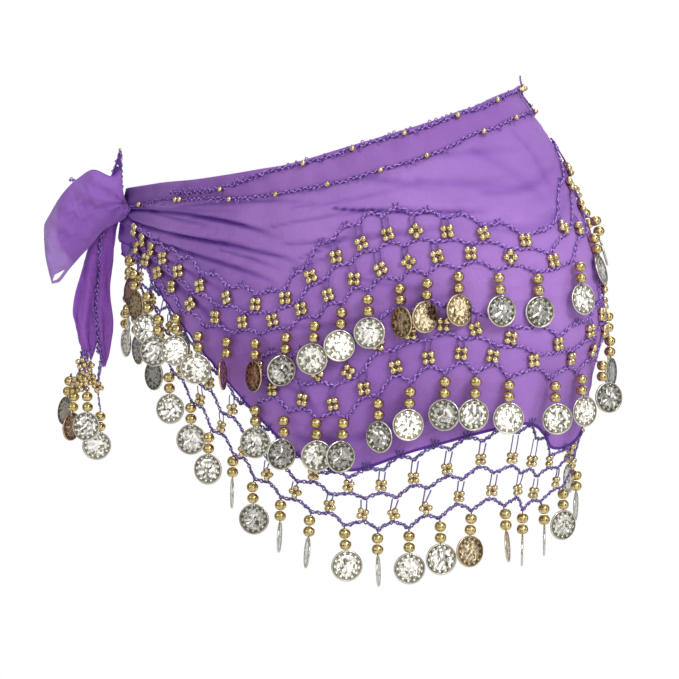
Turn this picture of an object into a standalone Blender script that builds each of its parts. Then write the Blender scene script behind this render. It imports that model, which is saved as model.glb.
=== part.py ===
"""A belly dance hip scarf as it is worn: a chiffon drape wound once round the hips and knotted at one side.

Metres, +Z up, the wearer faces -Y and the wearer's left is +X. The origin is the middle of the hips.
A place on the wound cloth is given by `along`, the way round the hip girth from the drape's guide line
on the wearer's left front thigh (positive towards the left hip and the back), and by `drop`, the
vertical way down from the tilted waist plane.
"""

import math

import bmesh
import bpy
from mathutils import Vector

# The hips that the scarf is wound on.
HIP_WIDTH = 0.350
HIP_DEPTH = 0.242
GUIDE_ANGLE = math.radians(314)  # where `along` is 0, from the wearer's left towards the back
TILT_ANGLE = math.radians(33)  # the way in which the lifted hip raises the waist
TILT_RISE = 0.245  # rise for each metre in that way
WAIST_HEIGHT = 0.112  # the waist plane's middle above the hips' middle
BODY = [
    dict(drop=0.000, share=0.8035, shift=-0.026),
    dict(drop=0.040, share=0.893, shift=-0.017),
    dict(drop=0.080, share=0.943, shift=-0.010),
    dict(drop=0.120, share=0.980, shift=-0.004),
    dict(drop=0.160, share=0.985, shift=-0.002),
    dict(drop=0.195, share=0.950, shift=-0.0055),
    dict(drop=0.235, share=0.915, shift=-0.0085),
    dict(drop=0.270, share=0.890, shift=-0.011),
    dict(drop=0.400, share=0.860, shift=-0.013),
]

# Cloth, cords, beads and coins.
SEAM_GAP = 0.0003
CLOTH_THICK = 0.0015
TURNOVER_THICK = 0.0012
CLOTH_STEP = 0.018
FRONT_ROWS = 10
BACK_ROWS = 4
CORD_WIDTH = 0.0022
CORD_THICK = 0.0016
NET_GAP = 0.0013  # the nets hang this free of the cloth
WAVE_SHARE = 0.08  # how far a chain swings up and down, as a share of its net's depth
FLOWER_WIDTH = 0.0085
FLOWER_THICK = 0.0030
BEAD = 0.0072
COIN = 0.0200
COIN_THICK = 0.0012
DROP_OUT = 0.0088  # from the cloth to the middle of a coin drop that lies on it
DROP_STAGGER = 0.0022  # every second drop stands so much further out, clear of its neighbours

# The wound cloth: how far its waist edge and its hem lie below the waist plane, and the turnover's depth.
KNOT_END = -0.277
BACK_END = 0.628
SPLIT = 0.150  # where the front stretch ends and the back stretch begins
WRAP = [
    dict(along=-0.290, waist=0.002, turnover=0.008, hem=0.036),
    dict(along=-0.250, waist=0.000, turnover=0.009, hem=0.044),
    dict(along=-0.215, waist=0.000, turnover=0.010, hem=0.073),
    dict(along=-0.172, waist=0.004, turnover=0.011, hem=0.115),
    dict(along=-0.131, waist=0.007, turnover=0.015, hem=0.160),
    dict(along=-0.084, waist=0.010, turnover=0.017, hem=0.203),
    dict(along=-0.050, waist=0.009, turnover=0.019, hem=0.209),
    dict(along=0.000, waist=0.007, turnover=0.020, hem=0.207),
    dict(along=0.055, waist=0.003, turnover=0.016, hem=0.208),
    dict(along=0.085, waist=0.000, turnover=0.016, hem=0.216),
    dict(along=0.108, waist=-0.003, turnover=0.017, hem=0.233),
    dict(along=0.120, waist=-0.004, turnover=0.017, hem=0.2355),
    dict(along=0.134, waist=-0.005, turnover=0.018, hem=0.229),
    dict(along=0.155, waist=-0.006, turnover=0.018, hem=0.210),
    dict(along=0.200, waist=-0.002, turnover=0.016, hem=0.156),
    dict(along=0.250, waist=0.003, turnover=0.014, hem=0.114),
    dict(along=0.320, waist=0.006, turnover=0.014, hem=0.086),
    dict(along=0.450, waist=0.006, turnover=0.013, hem=0.066),
    dict(along=0.600, waist=0.003, turnover=0.010, hem=0.046),
    dict(along=0.640, waist=0.002, turnover=0.008, hem=0.038),
]

# The guide lines of the two nets that lie on the cloth, top and bottom chain.
UPPER_NET = [
    dict(along=-0.252, top=0.022, bottom=0.040),
    dict(along=-0.206, top=0.042, bottom=0.069),
    dict(along=-0.172, top=0.058, bottom=0.094),
    dict(along=-0.153, top=0.070, bottom=0.103),
    dict(along=-0.107, top=0.088, bottom=0.112),
    dict(along=-0.063, top=0.063, bottom=0.103),
    dict(along=-0.030, top=0.054, bottom=0.0965),
    dict(along=0.007, top=0.062, bottom=0.098),
    dict(along=0.044, top=0.079, bottom=0.107),
    dict(along=0.078, top=0.092, bottom=0.117),
    dict(along=0.110, top=0.068, bottom=0.105),
    dict(along=0.138, top=0.041, bottom=0.090),
    dict(along=0.165, top=0.037, bottom=0.080),
    dict(along=0.205, top=0.044, bottom=0.080),
    dict(along=0.270, top=0.044, bottom=0.078),
]
MIDDLE_NET = [
    dict(along=-0.130, top=0.126, bottom=0.149),
    dict(along=-0.107, top=0.129, bottom=0.160),
    dict(along=-0.063, top=0.134, bottom=0.175),
    dict(along=-0.035, top=0.118, bottom=0.161),
    dict(along=0.000, top=0.119, bottom=0.160),
    dict(along=0.040, top=0.142, bottom=0.172),
    dict(along=0.080, top=0.158, bottom=0.183),
    dict(along=0.118, top=0.152, bottom=0.185),
    dict(along=0.150, top=0.120, bottom=0.163),
    dict(along=0.200, top=0.101, bottom=0.139),
    dict(along=0.228, top=0.104, bottom=0.138),
]
HEM_NET = [
    dict(along=-0.270, deep=0.024),
    dict(along=-0.215, deep=0.034),
    dict(along=-0.160, deep=0.040),
    dict(along=-0.125, deep=0.036),
    dict(along=-0.080, deep=0.030),
    dict(along=-0.050, deep=0.034),
    dict(along=-0.011, deep=0.041),
    dict(along=0.036, deep=0.040),
    dict(along=0.080, deep=0.043),
    dict(along=0.110, deep=0.032),
    dict(along=0.135, deep=0.032),
    dict(along=0.200, deep=0.040),
    dict(along=0.300, deep=0.040),
    dict(along=0.600, deep=0.028),
]

# How many cells of each net lie between its start and a place: the crocheting is uneven.
UPPER_CELLS = [
    dict(cells=0, along=-0.252),
    dict(cells=4, along=-0.188),
    dict(cells=6, along=-0.144),
    dict(cells=8, along=-0.099),
    dict(cells=10, along=-0.060),
    dict(cells=12, along=-0.024),
    dict(cells=14, along=0.013),
    dict(cells=16, along=0.061),
    dict(cells=18, along=0.128),
    dict(cells=19, along=0.147),
    dict(cells=21, along=0.198),
    dict(cells=24, along=0.270),
]
MIDDLE_CELLS = [
    dict(cells=0, along=-0.124),
    dict(cells=2, along=-0.081),
    dict(cells=4, along=-0.041),
    dict(cells=6, along=0.000),
    dict(cells=8, along=0.041),
    dict(cells=10, along=0.112),
    dict(cells=12, along=0.145),
    dict(cells=15, along=0.228),
]
HEM_CELLS = [
    dict(cells=0, along=-0.270),
    dict(cells=3, along=-0.204),
    dict(cells=6, along=-0.148),
    dict(cells=8, along=-0.106),
    dict(cells=10, along=-0.056),
    dict(cells=12, along=-0.011),
    dict(cells=14, along=0.034),
    dict(cells=16, along=0.080),
    dict(cells=18, along=0.129),
    dict(cells=19, along=0.147),
    dict(cells=24, along=0.268),
    dict(cells=39, along=0.612),
]

# The knot's place on the girth, and the shapes that leave it: `left` is to the knot's outer side,
# `up` is up, `front` is towards the wearer's left front.
KNOT_ALONG = -0.2935
KNOT_DROP = 0.008
KNOT_OUT = 0.0085
KNOT_HALF = dict(left=0.0110, front=0.0125, up=0.0160)
LOOP = [
    dict(share=0.00, low_left=0.005, low_up=-0.009, high_left=0.004, high_up=0.013),
    dict(share=0.30, low_left=0.016, low_up=-0.023, high_left=0.012, high_up=0.0225),
    dict(share=0.60, low_left=0.028, low_up=-0.037, high_left=0.020, high_up=0.0250),
    dict(share=0.85, low_left=0.038, low_up=-0.049, high_left=0.029, high_up=0.0185),
    dict(share=1.00, low_left=0.0435, low_up=-0.0545, high_left=0.036, high_up=0.0120),
]
LOOP_BELLY = 0.009  # how far the loop's outer fold swells past a straight line
LOOP_PUFF = 0.018
TAIL_WIDE = [
    dict(down=0.0215, left=0.009, width=0.011, pleat=0.0020),
    dict(down=0.034, left=0.013, width=0.018, pleat=0.0034),
    dict(down=0.067, left=0.0195, width=0.0205, pleat=0.0042),
    dict(down=0.090, left=0.0205, width=0.0175, pleat=0.0038),
    dict(down=0.100, left=0.0205, width=0.014, pleat=0.0030),
]
TAIL_NARROW = [
    dict(down=0.020, left=0.004, width=0.008, pleat=0.0018),
    dict(down=0.045, left=0.007, width=0.010, pleat=0.0026),
    dict(down=0.080, left=0.008, width=0.010, pleat=0.0028),
    dict(down=0.107, left=0.0085, width=0.0075, pleat=0.0020),
]
TAIL_DROPS = [
    dict(left=0.0335, front=-0.014, root=0.0125, swing=0.0024),
    dict(left=0.0285, front=-0.005, root=0.0245, swing=0.0028),
    dict(left=0.0185, front=0.005, root=0.0225, swing=0.0025),
    dict(left=0.0110, front=-0.003, root=0.0365, swing=0.0025),
]
TIP = dict(left=-0.0005, width=0.012, low=0.0178, high=0.0367)

CHIFFON = (0.30, 0.13, 0.52, 1.0)
CHIFFON_DEEP = (0.19, 0.07, 0.36, 1.0)
YARN = (0.15, 0.07, 0.42, 1.0)
GILT = (0.78, 0.66, 0.33, 1.0)


def clear_scene():
    for thing in list(bpy.data.objects):
        bpy.data.objects.remove(thing)


def material(name, colour, roughness, metallic=0.0):
    made = bpy.data.materials.new(name)
    made.use_nodes = True
    made.diffuse_color = colour
    shader = made.node_tree.nodes["Principled BSDF"]
    shader.inputs["Base Color"].default_value = colour
    shader.inputs["Roughness"].default_value = roughness
    shader.inputs["Metallic"].default_value = metallic
    return made


def eased(rows, key, value, at):
    """The table's value at a place between its rows, on a curve that never overshoots them."""
    if at <= rows[0][key]:
        return rows[0][value]
    if at >= rows[-1][key]:
        return rows[-1][value]
    i = next(n for n in range(len(rows) - 1) if at <= rows[n + 1][key])

    def slope(n):
        return (rows[n + 1][value] - rows[n][value]) / (rows[n + 1][key] - rows[n][key])

    def tangent(n):
        if n == 0 or n == len(rows) - 1 or slope(n - 1) * slope(n) <= 0:
            return 0.0 if 0 < n < len(rows) - 1 else slope(min(n, len(rows) - 2))
        return 2 / (1 / slope(n - 1) + 1 / slope(n))

    step = rows[i + 1][key] - rows[i][key]
    u = (at - rows[i][key]) / step
    return (
        rows[i][value] * (1 + 2 * u) * (1 - u) ** 2
        + rows[i + 1][value] * u * u * (3 - 2 * u)
        + step * (tangent(i) * u * (1 - u) ** 2 + tangent(i + 1) * u * u * (u - 1))
    )


def girth_table(steps=1440):
    """The hip ellipse's angle and the length round it, from the wearer's left."""
    rows = [dict(length=0.0, angle=0.0)]
    for n in range(1, steps + 1):
        angle, before = 2 * math.pi * n / steps, 2 * math.pi * (n - 1) / steps
        leg = math.hypot(
            HIP_WIDTH / 2 * (math.cos(angle) - math.cos(before)),
            HIP_DEPTH / 2 * (math.sin(angle) - math.sin(before)),
        )
        rows.append(dict(length=rows[-1]["length"] + leg, angle=angle))
    return rows


GIRTH_ROWS = girth_table()
GIRTH = GIRTH_ROWS[-1]["length"]
GUIDE_LENGTH = next(row["length"] for row in GIRTH_ROWS if row["angle"] >= GUIDE_ANGLE)


def girth_angle(along):
    length = (GUIDE_LENGTH + along) % GIRTH
    low, high = 0, len(GIRTH_ROWS) - 1
    while high - low > 1:
        middle = (low + high) // 2
        if GIRTH_ROWS[middle]["length"] <= length:
            low = middle
        else:
            high = middle
    a, b = GIRTH_ROWS[low], GIRTH_ROWS[high]
    share = (length - a["length"]) / (b["length"] - a["length"])
    return a["angle"] + share * (b["angle"] - a["angle"])


def ramp(value, low, high):
    u = min(1.0, max(0.0, (value - low) / (high - low)))
    return u * u * (3 - 2 * u)


def fold(along, drop, waist, hem):
    """How far the cloth's folds push it out: gathers that fan out from the knot, and soft folds at the hem."""
    share = min(1.0, (drop - waist) / (hem - waist))
    fade = math.exp(-max(0.0, drop - hem) / 0.060) * ramp(drop, waist + 0.010, waist + 0.028)
    front = 0.0030 * math.exp((KNOT_ALONG - along) / 0.120) * (1 + math.cos(2 * math.pi * 3.2 * share + 0.6))
    back = 0.0022 * math.exp((along - KNOT_ALONG - GIRTH) / 0.110) * (1 + math.cos(2 * math.pi * 1.6 * share))
    hang = 0.0035 * ramp(drop, 0.130, 0.215) * ramp(along, 0.010, 0.060) * (1 - ramp(along, 0.150, 0.190))
    soft = 0.0016 * ramp(drop, 0.090, 0.190) * math.sin(along / 0.019)
    return (front + back) * fade + hang * math.sin((along - 0.030) / 0.0145) + soft


def on_body(along, drop, push):
    """A point of the cloth's inner side, `push` out from the hips, and the way out there."""
    angle = girth_angle(along)
    share = eased(BODY, "drop", "share", drop)
    shift = eased(BODY, "drop", "shift", drop)
    x, y = HIP_WIDTH / 2 * math.cos(angle), HIP_DEPTH / 2 * math.sin(angle)
    outward = Vector((x / HIP_WIDTH**2, y / HIP_DEPTH**2, 0)).normalized()
    tilt_x, tilt_y = math.cos(TILT_ANGLE), math.sin(TILT_ANGLE)
    x = x * share + shift * tilt_x + outward.x * push
    y = y * share + shift * tilt_y + outward.y * push
    point = Vector((x, y, WAIST_HEIGHT - drop + TILT_RISE * (x * tilt_x + y * tilt_y)))
    return point, outward + Vector((0, 0, TILT_RISE * (outward.x * tilt_x + outward.y * tilt_y)))


def steps_between(start, end, step):
    count = max(1, round((end - start) / step))
    return [start + (end - start) * n / count for n in range(count + 1)]


class Cloth:
    """The wound cloth, as the flat faces that its two stretches are made of. All that lies on it is placed
    on these faces, and what hangs below the hem follows their columns further down."""

    def __init__(self):
        self.front = steps_between(KNOT_END, SPLIT - SEAM_GAP / 2, CLOTH_STEP)
        self.back = steps_between(SPLIT + SEAM_GAP / 2, BACK_END, CLOTH_STEP)
        self.stations = self.front + self.back
        self.columns = [self.column(along) for along in self.stations]

    def column(self, along):
        waist, hem = (eased(WRAP, "along", key, along) for key in ("waist", "hem"))
        rows = FRONT_ROWS if along < SPLIT else BACK_ROWS
        drops = [waist + (hem - waist) * n / rows for n in range(rows + 1)]
        drops += [hem + 0.0125 * n for n in range(1, 11)]
        return [dict(drop=drop, spot=on_body(along, drop, fold(along, drop, waist, hem))) for drop in drops]

    def beside(self, along):
        """The stations on both sides of a place, and how far it is from the first to the second."""
        i = 0
        while i < len(self.stations) - 2 and self.stations[i + 1] < along:
            i += 1
        return i, (along - self.stations[i]) / (self.stations[i + 1] - self.stations[i])

    def edge(self, key, along):
        """Waist edge, turnover or hem as it is between two stations: a straight line."""
        i, u = self.beside(along)
        ends = (eased(WRAP, "along", key, self.stations[n]) for n in (i, i + 1))
        return sum(value * part for value, part in zip(ends, (1 - u, u)))

    def point(self, along, drop, out):
        """The point over this place of the cloth, `out` from its inner side."""
        i, u = self.beside(along)
        first, second = self.columns[i], self.columns[i + 1]
        k = 0
        while k < min(len(first), len(second)) - 2 and self.between(first, second, k + 1, u) < drop:
            k += 1
        low, high = self.between(first, second, k, u), self.between(first, second, k + 1, u)
        v = (drop - low) / (high - low)
        found = Vector((0, 0, 0))
        for column, part in ((first, 1 - u), (second, u)):
            for row, share in ((k, 1 - v), (k + 1, v)):
                spot, outward = column[row]["spot"]
                found += (spot + outward * out) * part * share
        return found

    def between(self, first, second, row, u):
        return first[row]["drop"] * (1 - u) + second[row]["drop"] * u


class Sheet:
    """A wall made of flat faces: each corner has an inner and an outer point, and the rim is closed."""

    def __init__(self):
        self.inner, self.outer, self.faces = [], [], []

    def corner(self, inner, outer):
        self.inner.append(inner)
        self.outer.append(outer)
        return len(self.inner) - 1

    def on_cloth(self, along, drop, low, high):
        return self.corner(CLOTH.point(along, drop, low), CLOTH.point(along, drop, high))

    def face(self, *corners):
        self.faces.append(corners)

    def strip(self, first, second):
        """Faces between two rows of corners."""
        for a, b, c, d in zip(first, first[1:], second[1:], second):
            self.face(a, b, c, d)

    def build(self, name, finish, smooth=True):
        count = len(self.inner)
        uses = {}
        for corners in self.faces:
            for a, b in zip(corners, corners[1:] + corners[:1]):
                uses[(a, b)] = True
        faces = [tuple(corners) for corners in self.faces]
        faces += [tuple(count + n for n in reversed(corners)) for corners in self.faces]
        faces += [(b, a, count + a, count + b) for a, b in uses if (b, a) not in uses]
        mesh = bpy.data.meshes.new(name)
        mesh.from_pydata([*self.outer, *self.inner], [], faces)
        shape = bmesh.new()
        shape.from_mesh(mesh)
        bmesh.ops.recalc_face_normals(shape, faces=shape.faces)
        shape.to_mesh(mesh)
        shape.free()
        mesh.materials.append(finish)
        if smooth:
            mesh.shade_smooth()
            mesh.set_sharp_from_angle(angle=math.radians(50))
        made = bpy.data.objects.new(name, mesh)
        bpy.context.scene.collection.objects.link(made)
        return made


CLOTH = Cloth()


def add_wrap(name, stations, rows, finish):
    """A stretch of the chiffon drape, from its waist edge to its hem."""
    sheet = Sheet()
    lines = []
    for row in range(rows + 1):
        line = []
        for along in stations:
            waist, hem = CLOTH.edge("waist", along), CLOTH.edge("hem", along)
            line.append(sheet.on_cloth(along, waist + (hem - waist) * row / rows, 0, CLOTH_THICK))
        lines.append(line)
    for upper, lower in zip(lines, lines[1:]):
        sheet.strip(lower, upper)
    sheet.build(name, finish)


def add_strip(name, stations, top_of, foot_of, low, high, finish):
    """A strip laid on the cloth, between two edges given by their drop."""
    sheet = Sheet()
    upper = [sheet.on_cloth(along, top_of(along), low, high) for along in stations]
    lower = [sheet.on_cloth(along, foot_of(along), low, high) for along in stations]
    sheet.strip(lower, upper)
    sheet.build(name, finish)


def turnover_foot(along):
    return CLOTH.edge("waist", along) + CLOTH.edge("turnover", along)


def add_waist(deep, yarn):
    """The waist edge turned over to the outside, with a crocheted cord on its fold and one on its hem."""
    low = CLOTH_THICK + 2 * SEAM_GAP
    high = low + TURNOVER_THICK
    for name, stations in (("turnover_front", CLOTH.front), ("turnover_back", CLOTH.back)):
        add_strip(name, stations, lambda along: CLOTH.edge("waist", along), turnover_foot, low, high, deep)

    def upper_cord(along):
        """It comes down to the lower cord as it nears the knot."""
        near_knot = 1 - ramp(along, -0.165, -0.095)
        free = CLOTH.edge("turnover", along) - 2.5 * CORD_WIDTH
        return CLOTH.edge("waist", along) + CORD_WIDTH / 2 + free * near_knot

    low = high + SEAM_GAP
    stations = CLOTH.stations[1:-1]
    for name, middle in (("edging_waist", upper_cord), ("edging_turnover", turnover_foot)):
        add_strip(
            name,
            stations,
            lambda along, middle=middle: middle(along) - CORD_WIDTH / 2,
            lambda along, middle=middle: middle(along) + CORD_WIDTH / 2,
            low,
            low + CORD_THICK,
            yarn,
        )


class Net:
    """One crocheted net: three waved chains, joined by hanging threads with bead flowers."""

    def __init__(self, name, chain_drop, cells, low):
        self.name, self.chain_drop, self.low = name, chain_drop, low
        self.stations = self.half_cells(cells)

    def half_cells(self, cells):
        """Places half a cell apart, from a trough of the lowest chain to another."""
        return [eased(cells, "cells", "along", n / 2) for n in range(2 * cells[-1]["cells"] + 1)]

    def slope(self, along):
        return (self.chain_drop(1, along + 0.006) - self.chain_drop(1, along - 0.006)) / 0.012

    def chain_point(self, chain, n):
        """Place and drop of the chain's middle at station n."""
        hangs = (n + chain) % 2 == 0
        along = self.stations[n]
        wave = WAVE_SHARE * (self.chain_drop(2, along) - self.chain_drop(0, along))
        return along, self.chain_drop(chain, along) + (wave if hangs else -wave)

    def pair(self, sheet, along, drop, width, low=None, thick=CORD_THICK):
        """Two corners side by side, in line with the slope of the net here."""
        slope = self.slope(along)
        low = self.low if low is None else low
        half = width / 2 / math.hypot(1, slope)
        return [sheet.on_cloth(along + way * half, drop + way * half * slope, low, low + thick) for way in (-1, 1)]

    def side(self, sheet, along, drop, split):
        """The corners of one side of a chain at a station: two where a thread leaves it, or one."""
        if split:
            return self.pair(sheet, along, drop, CORD_WIDTH)
        return [sheet.on_cloth(along, drop, self.low, self.low + CORD_THICK)]

    def half_cord(self, along):
        return CORD_WIDTH / 2 * math.hypot(1, self.slope(along))

    def add_chain(self, sheet, chain, first, last, above, below):
        """A waved ribbon. A thread comes in above it where it rises, and leaves below it where it hangs."""
        joints = {}
        for n in range(first, last + 1):
            along, drop = self.chain_point(chain, n)
            hangs = (n + chain) % 2 == 0
            half = self.half_cord(along)
            top = self.side(sheet, along, drop - half, above and not hangs)
            foot = self.side(sheet, along, drop + half, below and hangs)
            joints[n] = (top, foot)
            if len(top) == 2:
                sheet.face(foot[0], top[1], top[0])
            if len(foot) == 2:
                sheet.face(foot[0], foot[1], top[0])
            if n > first:
                before_top, before_foot = joints[n - 1]
                sheet.face(before_foot[-1], foot[0], top[0], before_top[-1])
        return joints

    def add_threads(self, sheet, upper, lower, first, last, chain):
        """The hanging threads between two chains, each widened into its bead flower."""
        for n in range(first, last + 1):
            if (n + chain) % 2:
                continue
            along, start = self.chain_point(chain, n)
            end = self.chain_point(chain + 1, n)[1]
            wide = self.pair(sheet, along, (start + end) / 2, FLOWER_WIDTH, self.low, FLOWER_THICK)
            foot = upper[n][1]
            sheet.face(wide[0], wide[1], foot[1], foot[0])
            if lower is not None:
                tips = lower[n][0]
            else:
                tips = self.pair(sheet, along, end - self.half_cord(along) - 2 * SEAM_GAP, CORD_WIDTH)
            sheet.face(tips[0], tips[1], wide[1], wide[0])

    def build_mesh(self, part, first, last, finish):
        """The net from its top chain down to just above its lowest chain."""
        sheet = Sheet()
        top = self.add_chain(sheet, 0, first, last, above=False, below=True)
        middle = self.add_chain(sheet, 1, first, last, above=True, below=True)
        self.add_threads(sheet, top, middle, first, last, 0)
        self.add_threads(sheet, middle, None, first, last, 1)
        sheet.build(f"{self.name}_{part}", finish, smooth=False)

    def build_drops(self, part, first, last, out, finish):
        """The lowest chain, with a coin drop at each place where it hangs."""
        sheet = Sheet()
        chain = self.add_chain(sheet, 2, first, last, above=False, below=True)
        for n in range(first, last + 1):
            if n % 2 == 0:
                along, drop = self.chain_point(2, n)
                far = out + DROP_STAGGER * (n // 2 % 2)
                add_coin_drop(
                    sheet,
                    chain[n][1],
                    lambda side, down, low, high, at=along, start=drop, out=far: sheet.on_cloth(
                        at + side, start + down, out + low, out + high
                    ),
                )
        sheet.build(f"coins_{self.name}_{part}", finish, smooth=False)


def drop_sections():
    """Down a coin drop: its half width and half thickness at each change of form."""
    bead, thread = BEAD / 2, CORD_WIDTH / 2
    first = CORD_WIDTH / 2 + 0.0008 + bead
    second = first + BEAD
    coin = second + bead + COIN / 2 + 0.0002
    octagon = COIN / 2 * math.cos(math.radians(22.5))
    corner = COIN / 2 * math.sin(math.radians(22.5))
    return [
        dict(down=first, half=bead, thick=bead),
        dict(down=(first + second) / 2, half=thread, thick=thread),
        dict(down=second, half=bead, thick=bead),
        dict(down=coin - COIN / 2, half=thread, thick=COIN_THICK / 2),
        dict(down=coin - corner, half=octagon, thick=COIN_THICK / 2),
        dict(down=coin + corner, half=octagon, thick=COIN_THICK / 2),
        dict(down=coin + octagon, half=corner, thick=COIN_THICK / 2),
    ]


def add_coin_drop(sheet, root, place):
    """Two big beads and a coin on a thread. `place` turns a side, a way down and two depths into a corner."""
    above = root
    for row in drop_sections():
        pair = [place(way * row["half"], row["down"], -row["thick"], row["thick"]) for way in (-1, 1)]
        sheet.face(pair[0], pair[1], above[1], above[0])
        above = pair


def table_chain(rows):
    def chain_drop(chain, along):
        top, bottom = eased(rows, "along", "top", along), eased(rows, "along", "bottom", along)
        return top + (bottom - top) * chain / 2

    return chain_drop


def hem_chain(chain, along):
    deep = eased(HEM_NET, "along", "deep", along)
    slope = (CLOTH.edge("hem", along + 0.006) - CLOTH.edge("hem", along - 0.006)) / 0.012
    clear = (CORD_WIDTH / 2 + 2 * SEAM_GAP) * math.hypot(1, slope)
    return CLOTH.edge("hem", along) + clear + WAVE_SHARE * deep + deep * chain / 2


def add_nets(yarn, gilt):
    lying = CLOTH_THICK + NET_GAP
    nets = [
        (Net("upper_net", table_chain(UPPER_NET), UPPER_CELLS, lying), DROP_OUT),
        (Net("middle_net", table_chain(MIDDLE_NET), MIDDLE_CELLS, lying), DROP_OUT),
        (Net("hem_net", hem_chain, HEM_CELLS, 0.0), CORD_THICK / 2),
    ]
    for net, out in nets:
        last = len(net.stations) - 1
        split = (sum(along < SPLIT for along in net.stations) - 1) // 2 * 2
        net.build_mesh("front", 0, split, yarn)
        net.build_mesh("back", split + 1, last, yarn)
        net.build_drops("front", 0, split, out, gilt)
        net.build_drops("back", split + 1, last, out, gilt)


def knot_frame():
    """The knot's middle, and the ways left (outwards), up and front from it."""
    middle, outward = on_body(KNOT_ALONG, KNOT_DROP, KNOT_OUT)
    left = Vector((-math.cos(TILT_ANGLE), -math.sin(TILT_ANGLE), 0))
    front = Vector((math.sin(TILT_ANGLE), -math.cos(TILT_ANGLE), 0))
    return middle, left, Vector((0, 0, 1)), front


def from_knot(left, up, front):
    middle, to_left, to_up, to_front = knot_frame()
    return middle + to_left * left + to_up * up + to_front * front


def add_knot(finish):
    """The tied cloth: a ball drawn in at its waist, with the turns of the tie as ridges."""
    shape = bmesh.new()
    bmesh.ops.create_uvsphere(shape, u_segments=16, v_segments=8, radius=1.0)
    middle, left, up, front = knot_frame()
    for corner in shape.verts:
        x, y, z = corner.co
        ridge = 1 + 0.10 * math.cos(5 * math.atan2(y, x) + 3 * z)
        corner.co = (
            middle
            + left * (KNOT_HALF["left"] * x * ridge)
            + front * (KNOT_HALF["front"] * y * ridge)
            + up * (KNOT_HALF["up"] * z)
        )
    mesh = bpy.data.meshes.new("knot")
    shape.normal_update()
    bmesh.ops.recalc_face_normals(shape, faces=shape.faces)
    shape.to_mesh(mesh)
    shape.free()
    mesh.materials.append(finish)
    mesh.shade_smooth()
    bpy.context.scene.collection.objects.link(bpy.data.objects.new("knot", mesh))


def add_loop(finish):
    """The puffed loop: a wide band that leaves the knot, folds over and comes back behind."""
    around, across, margin = 16, 6, 0.07
    lines = []
    for n in range(around + 1):
        turn = math.pi * (margin + (1 - 2 * margin) * n / around)
        share = math.sin(turn)
        depth = LOOP_PUFF * math.sin(2 * turn)
        low_left, low_up, high_left, high_up = (
            eased(LOOP, "share", key, share) for key in ("low_left", "low_up", "high_left", "high_up")
        )
        line = []
        for m in range(across + 1):
            v = m / across
            bulge = 4 * v * (1 - v)
            left = (1 - v) * low_left + v * high_left + LOOP_BELLY * bulge * share * share
            crease = 0.0012 * math.sin(9 * v + 4 * share) * share
            line.append(from_knot(left, (1 - v) * low_up + v * high_up, depth * (0.45 + 0.55 * bulge) + crease))
        lines.append(line)
    build_band("bow_loop", lines, 0.0012, finish)


def build_band(name, lines, thick, finish):
    """Gives a grid of points its thickness, along the grid's own normals."""
    sheet = Sheet()
    corners = []
    for i, line in enumerate(lines):
        made = []
        for j, point in enumerate(line):
            along = lines[min(i + 1, len(lines) - 1)][j] - lines[max(i - 1, 0)][j]
            across = line[min(j + 1, len(line) - 1)] - line[max(j - 1, 0)]
            made.append(sheet.corner(point, point + along.cross(across).normalized() * thick))
        corners.append(made)
    for first, second in zip(corners, corners[1:]):
        sheet.strip(first, second)
    sheet.build(name, finish)


def add_tail(name, rows, pleats, behind, finish):
    """A gathered end of the cloth that hangs from the knot in narrow pleats."""
    across = 4 * pleats
    lines = []
    for down in steps_between(rows[0]["down"], rows[-1]["down"], 0.0125):
        width, left, pleat = (eased(rows, "down", key, down) for key in ("width", "left", "pleat"))
        line = []
        for m in range(across + 1):
            v = m / across
            side = left + width * (v - 0.5)
            depth = behind + pleat * math.cos(2 * math.pi * pleats * v)
            line.append(from_knot(side, -down, depth))
        lines.append(line)
    build_band(name, lines, 0.0010, finish)


def add_corner_tip(finish):
    """The cloth's pointed corner, which stands up out of the knot."""
    lines = []
    for n in range(5):
        share = n / 4
        width = TIP["width"] * (1 - share) + 0.0012
        line = []
        for m in range(5):
            v = m / 4 - 0.5
            side = TIP["left"] - 0.0022 * share + width * v
            up = TIP["low"] + (TIP["high"] - TIP["low"]) * share
            line.append(from_knot(side, up, -0.001 - 0.012 * v * v * (1 - share)))
        lines.append(line)
    build_band("corner_tip", lines, 0.0010, finish)


def add_tail_drops(gilt):
    """The net's last threads at the tail's end: a narrow crocheted strip with four coin drops."""
    sheet = Sheet()
    top = TAIL_WIDE[-1]["down"] + 0.0020
    low, high = -0.0022, -0.0006
    stops = sorted(TAIL_DROPS, key=lambda row: row["left"])
    feet, heads = [], []
    for row in stops:
        for way in (-1, 1):
            side = 0.0150 + 0.4 * (row["left"] - 0.011) + way * CORD_WIDTH / 2
            heads.append(sheet.corner(from_knot(side, -top, low), from_knot(side, -top, high)))
            feet.append(sheet.corner(from_knot(side, -top - 0.0025, low), from_knot(side, -top - 0.0025, high)))
    sheet.strip(feet, heads)
    for n, row in enumerate(stops):
        root = feet[2 * n], feet[2 * n + 1]

        def place(side, down, near, far, row=row):
            left = row["left"] + side + row["swing"] * (down / 0.02)
            up = -top - row["root"] - down
            return sheet.corner(from_knot(left, up, row["front"] + near), from_knot(left, up, row["front"] + far))

        half = CORD_WIDTH / 2
        end = [place(way * half, 0, -CORD_THICK / 2, CORD_THICK / 2) for way in (-1, 1)]
        sheet.face(end[0], end[1], root[1], root[0])
        add_coin_drop(sheet, end, place)
    sheet.build("coins_tail", gilt, smooth=False)


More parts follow.
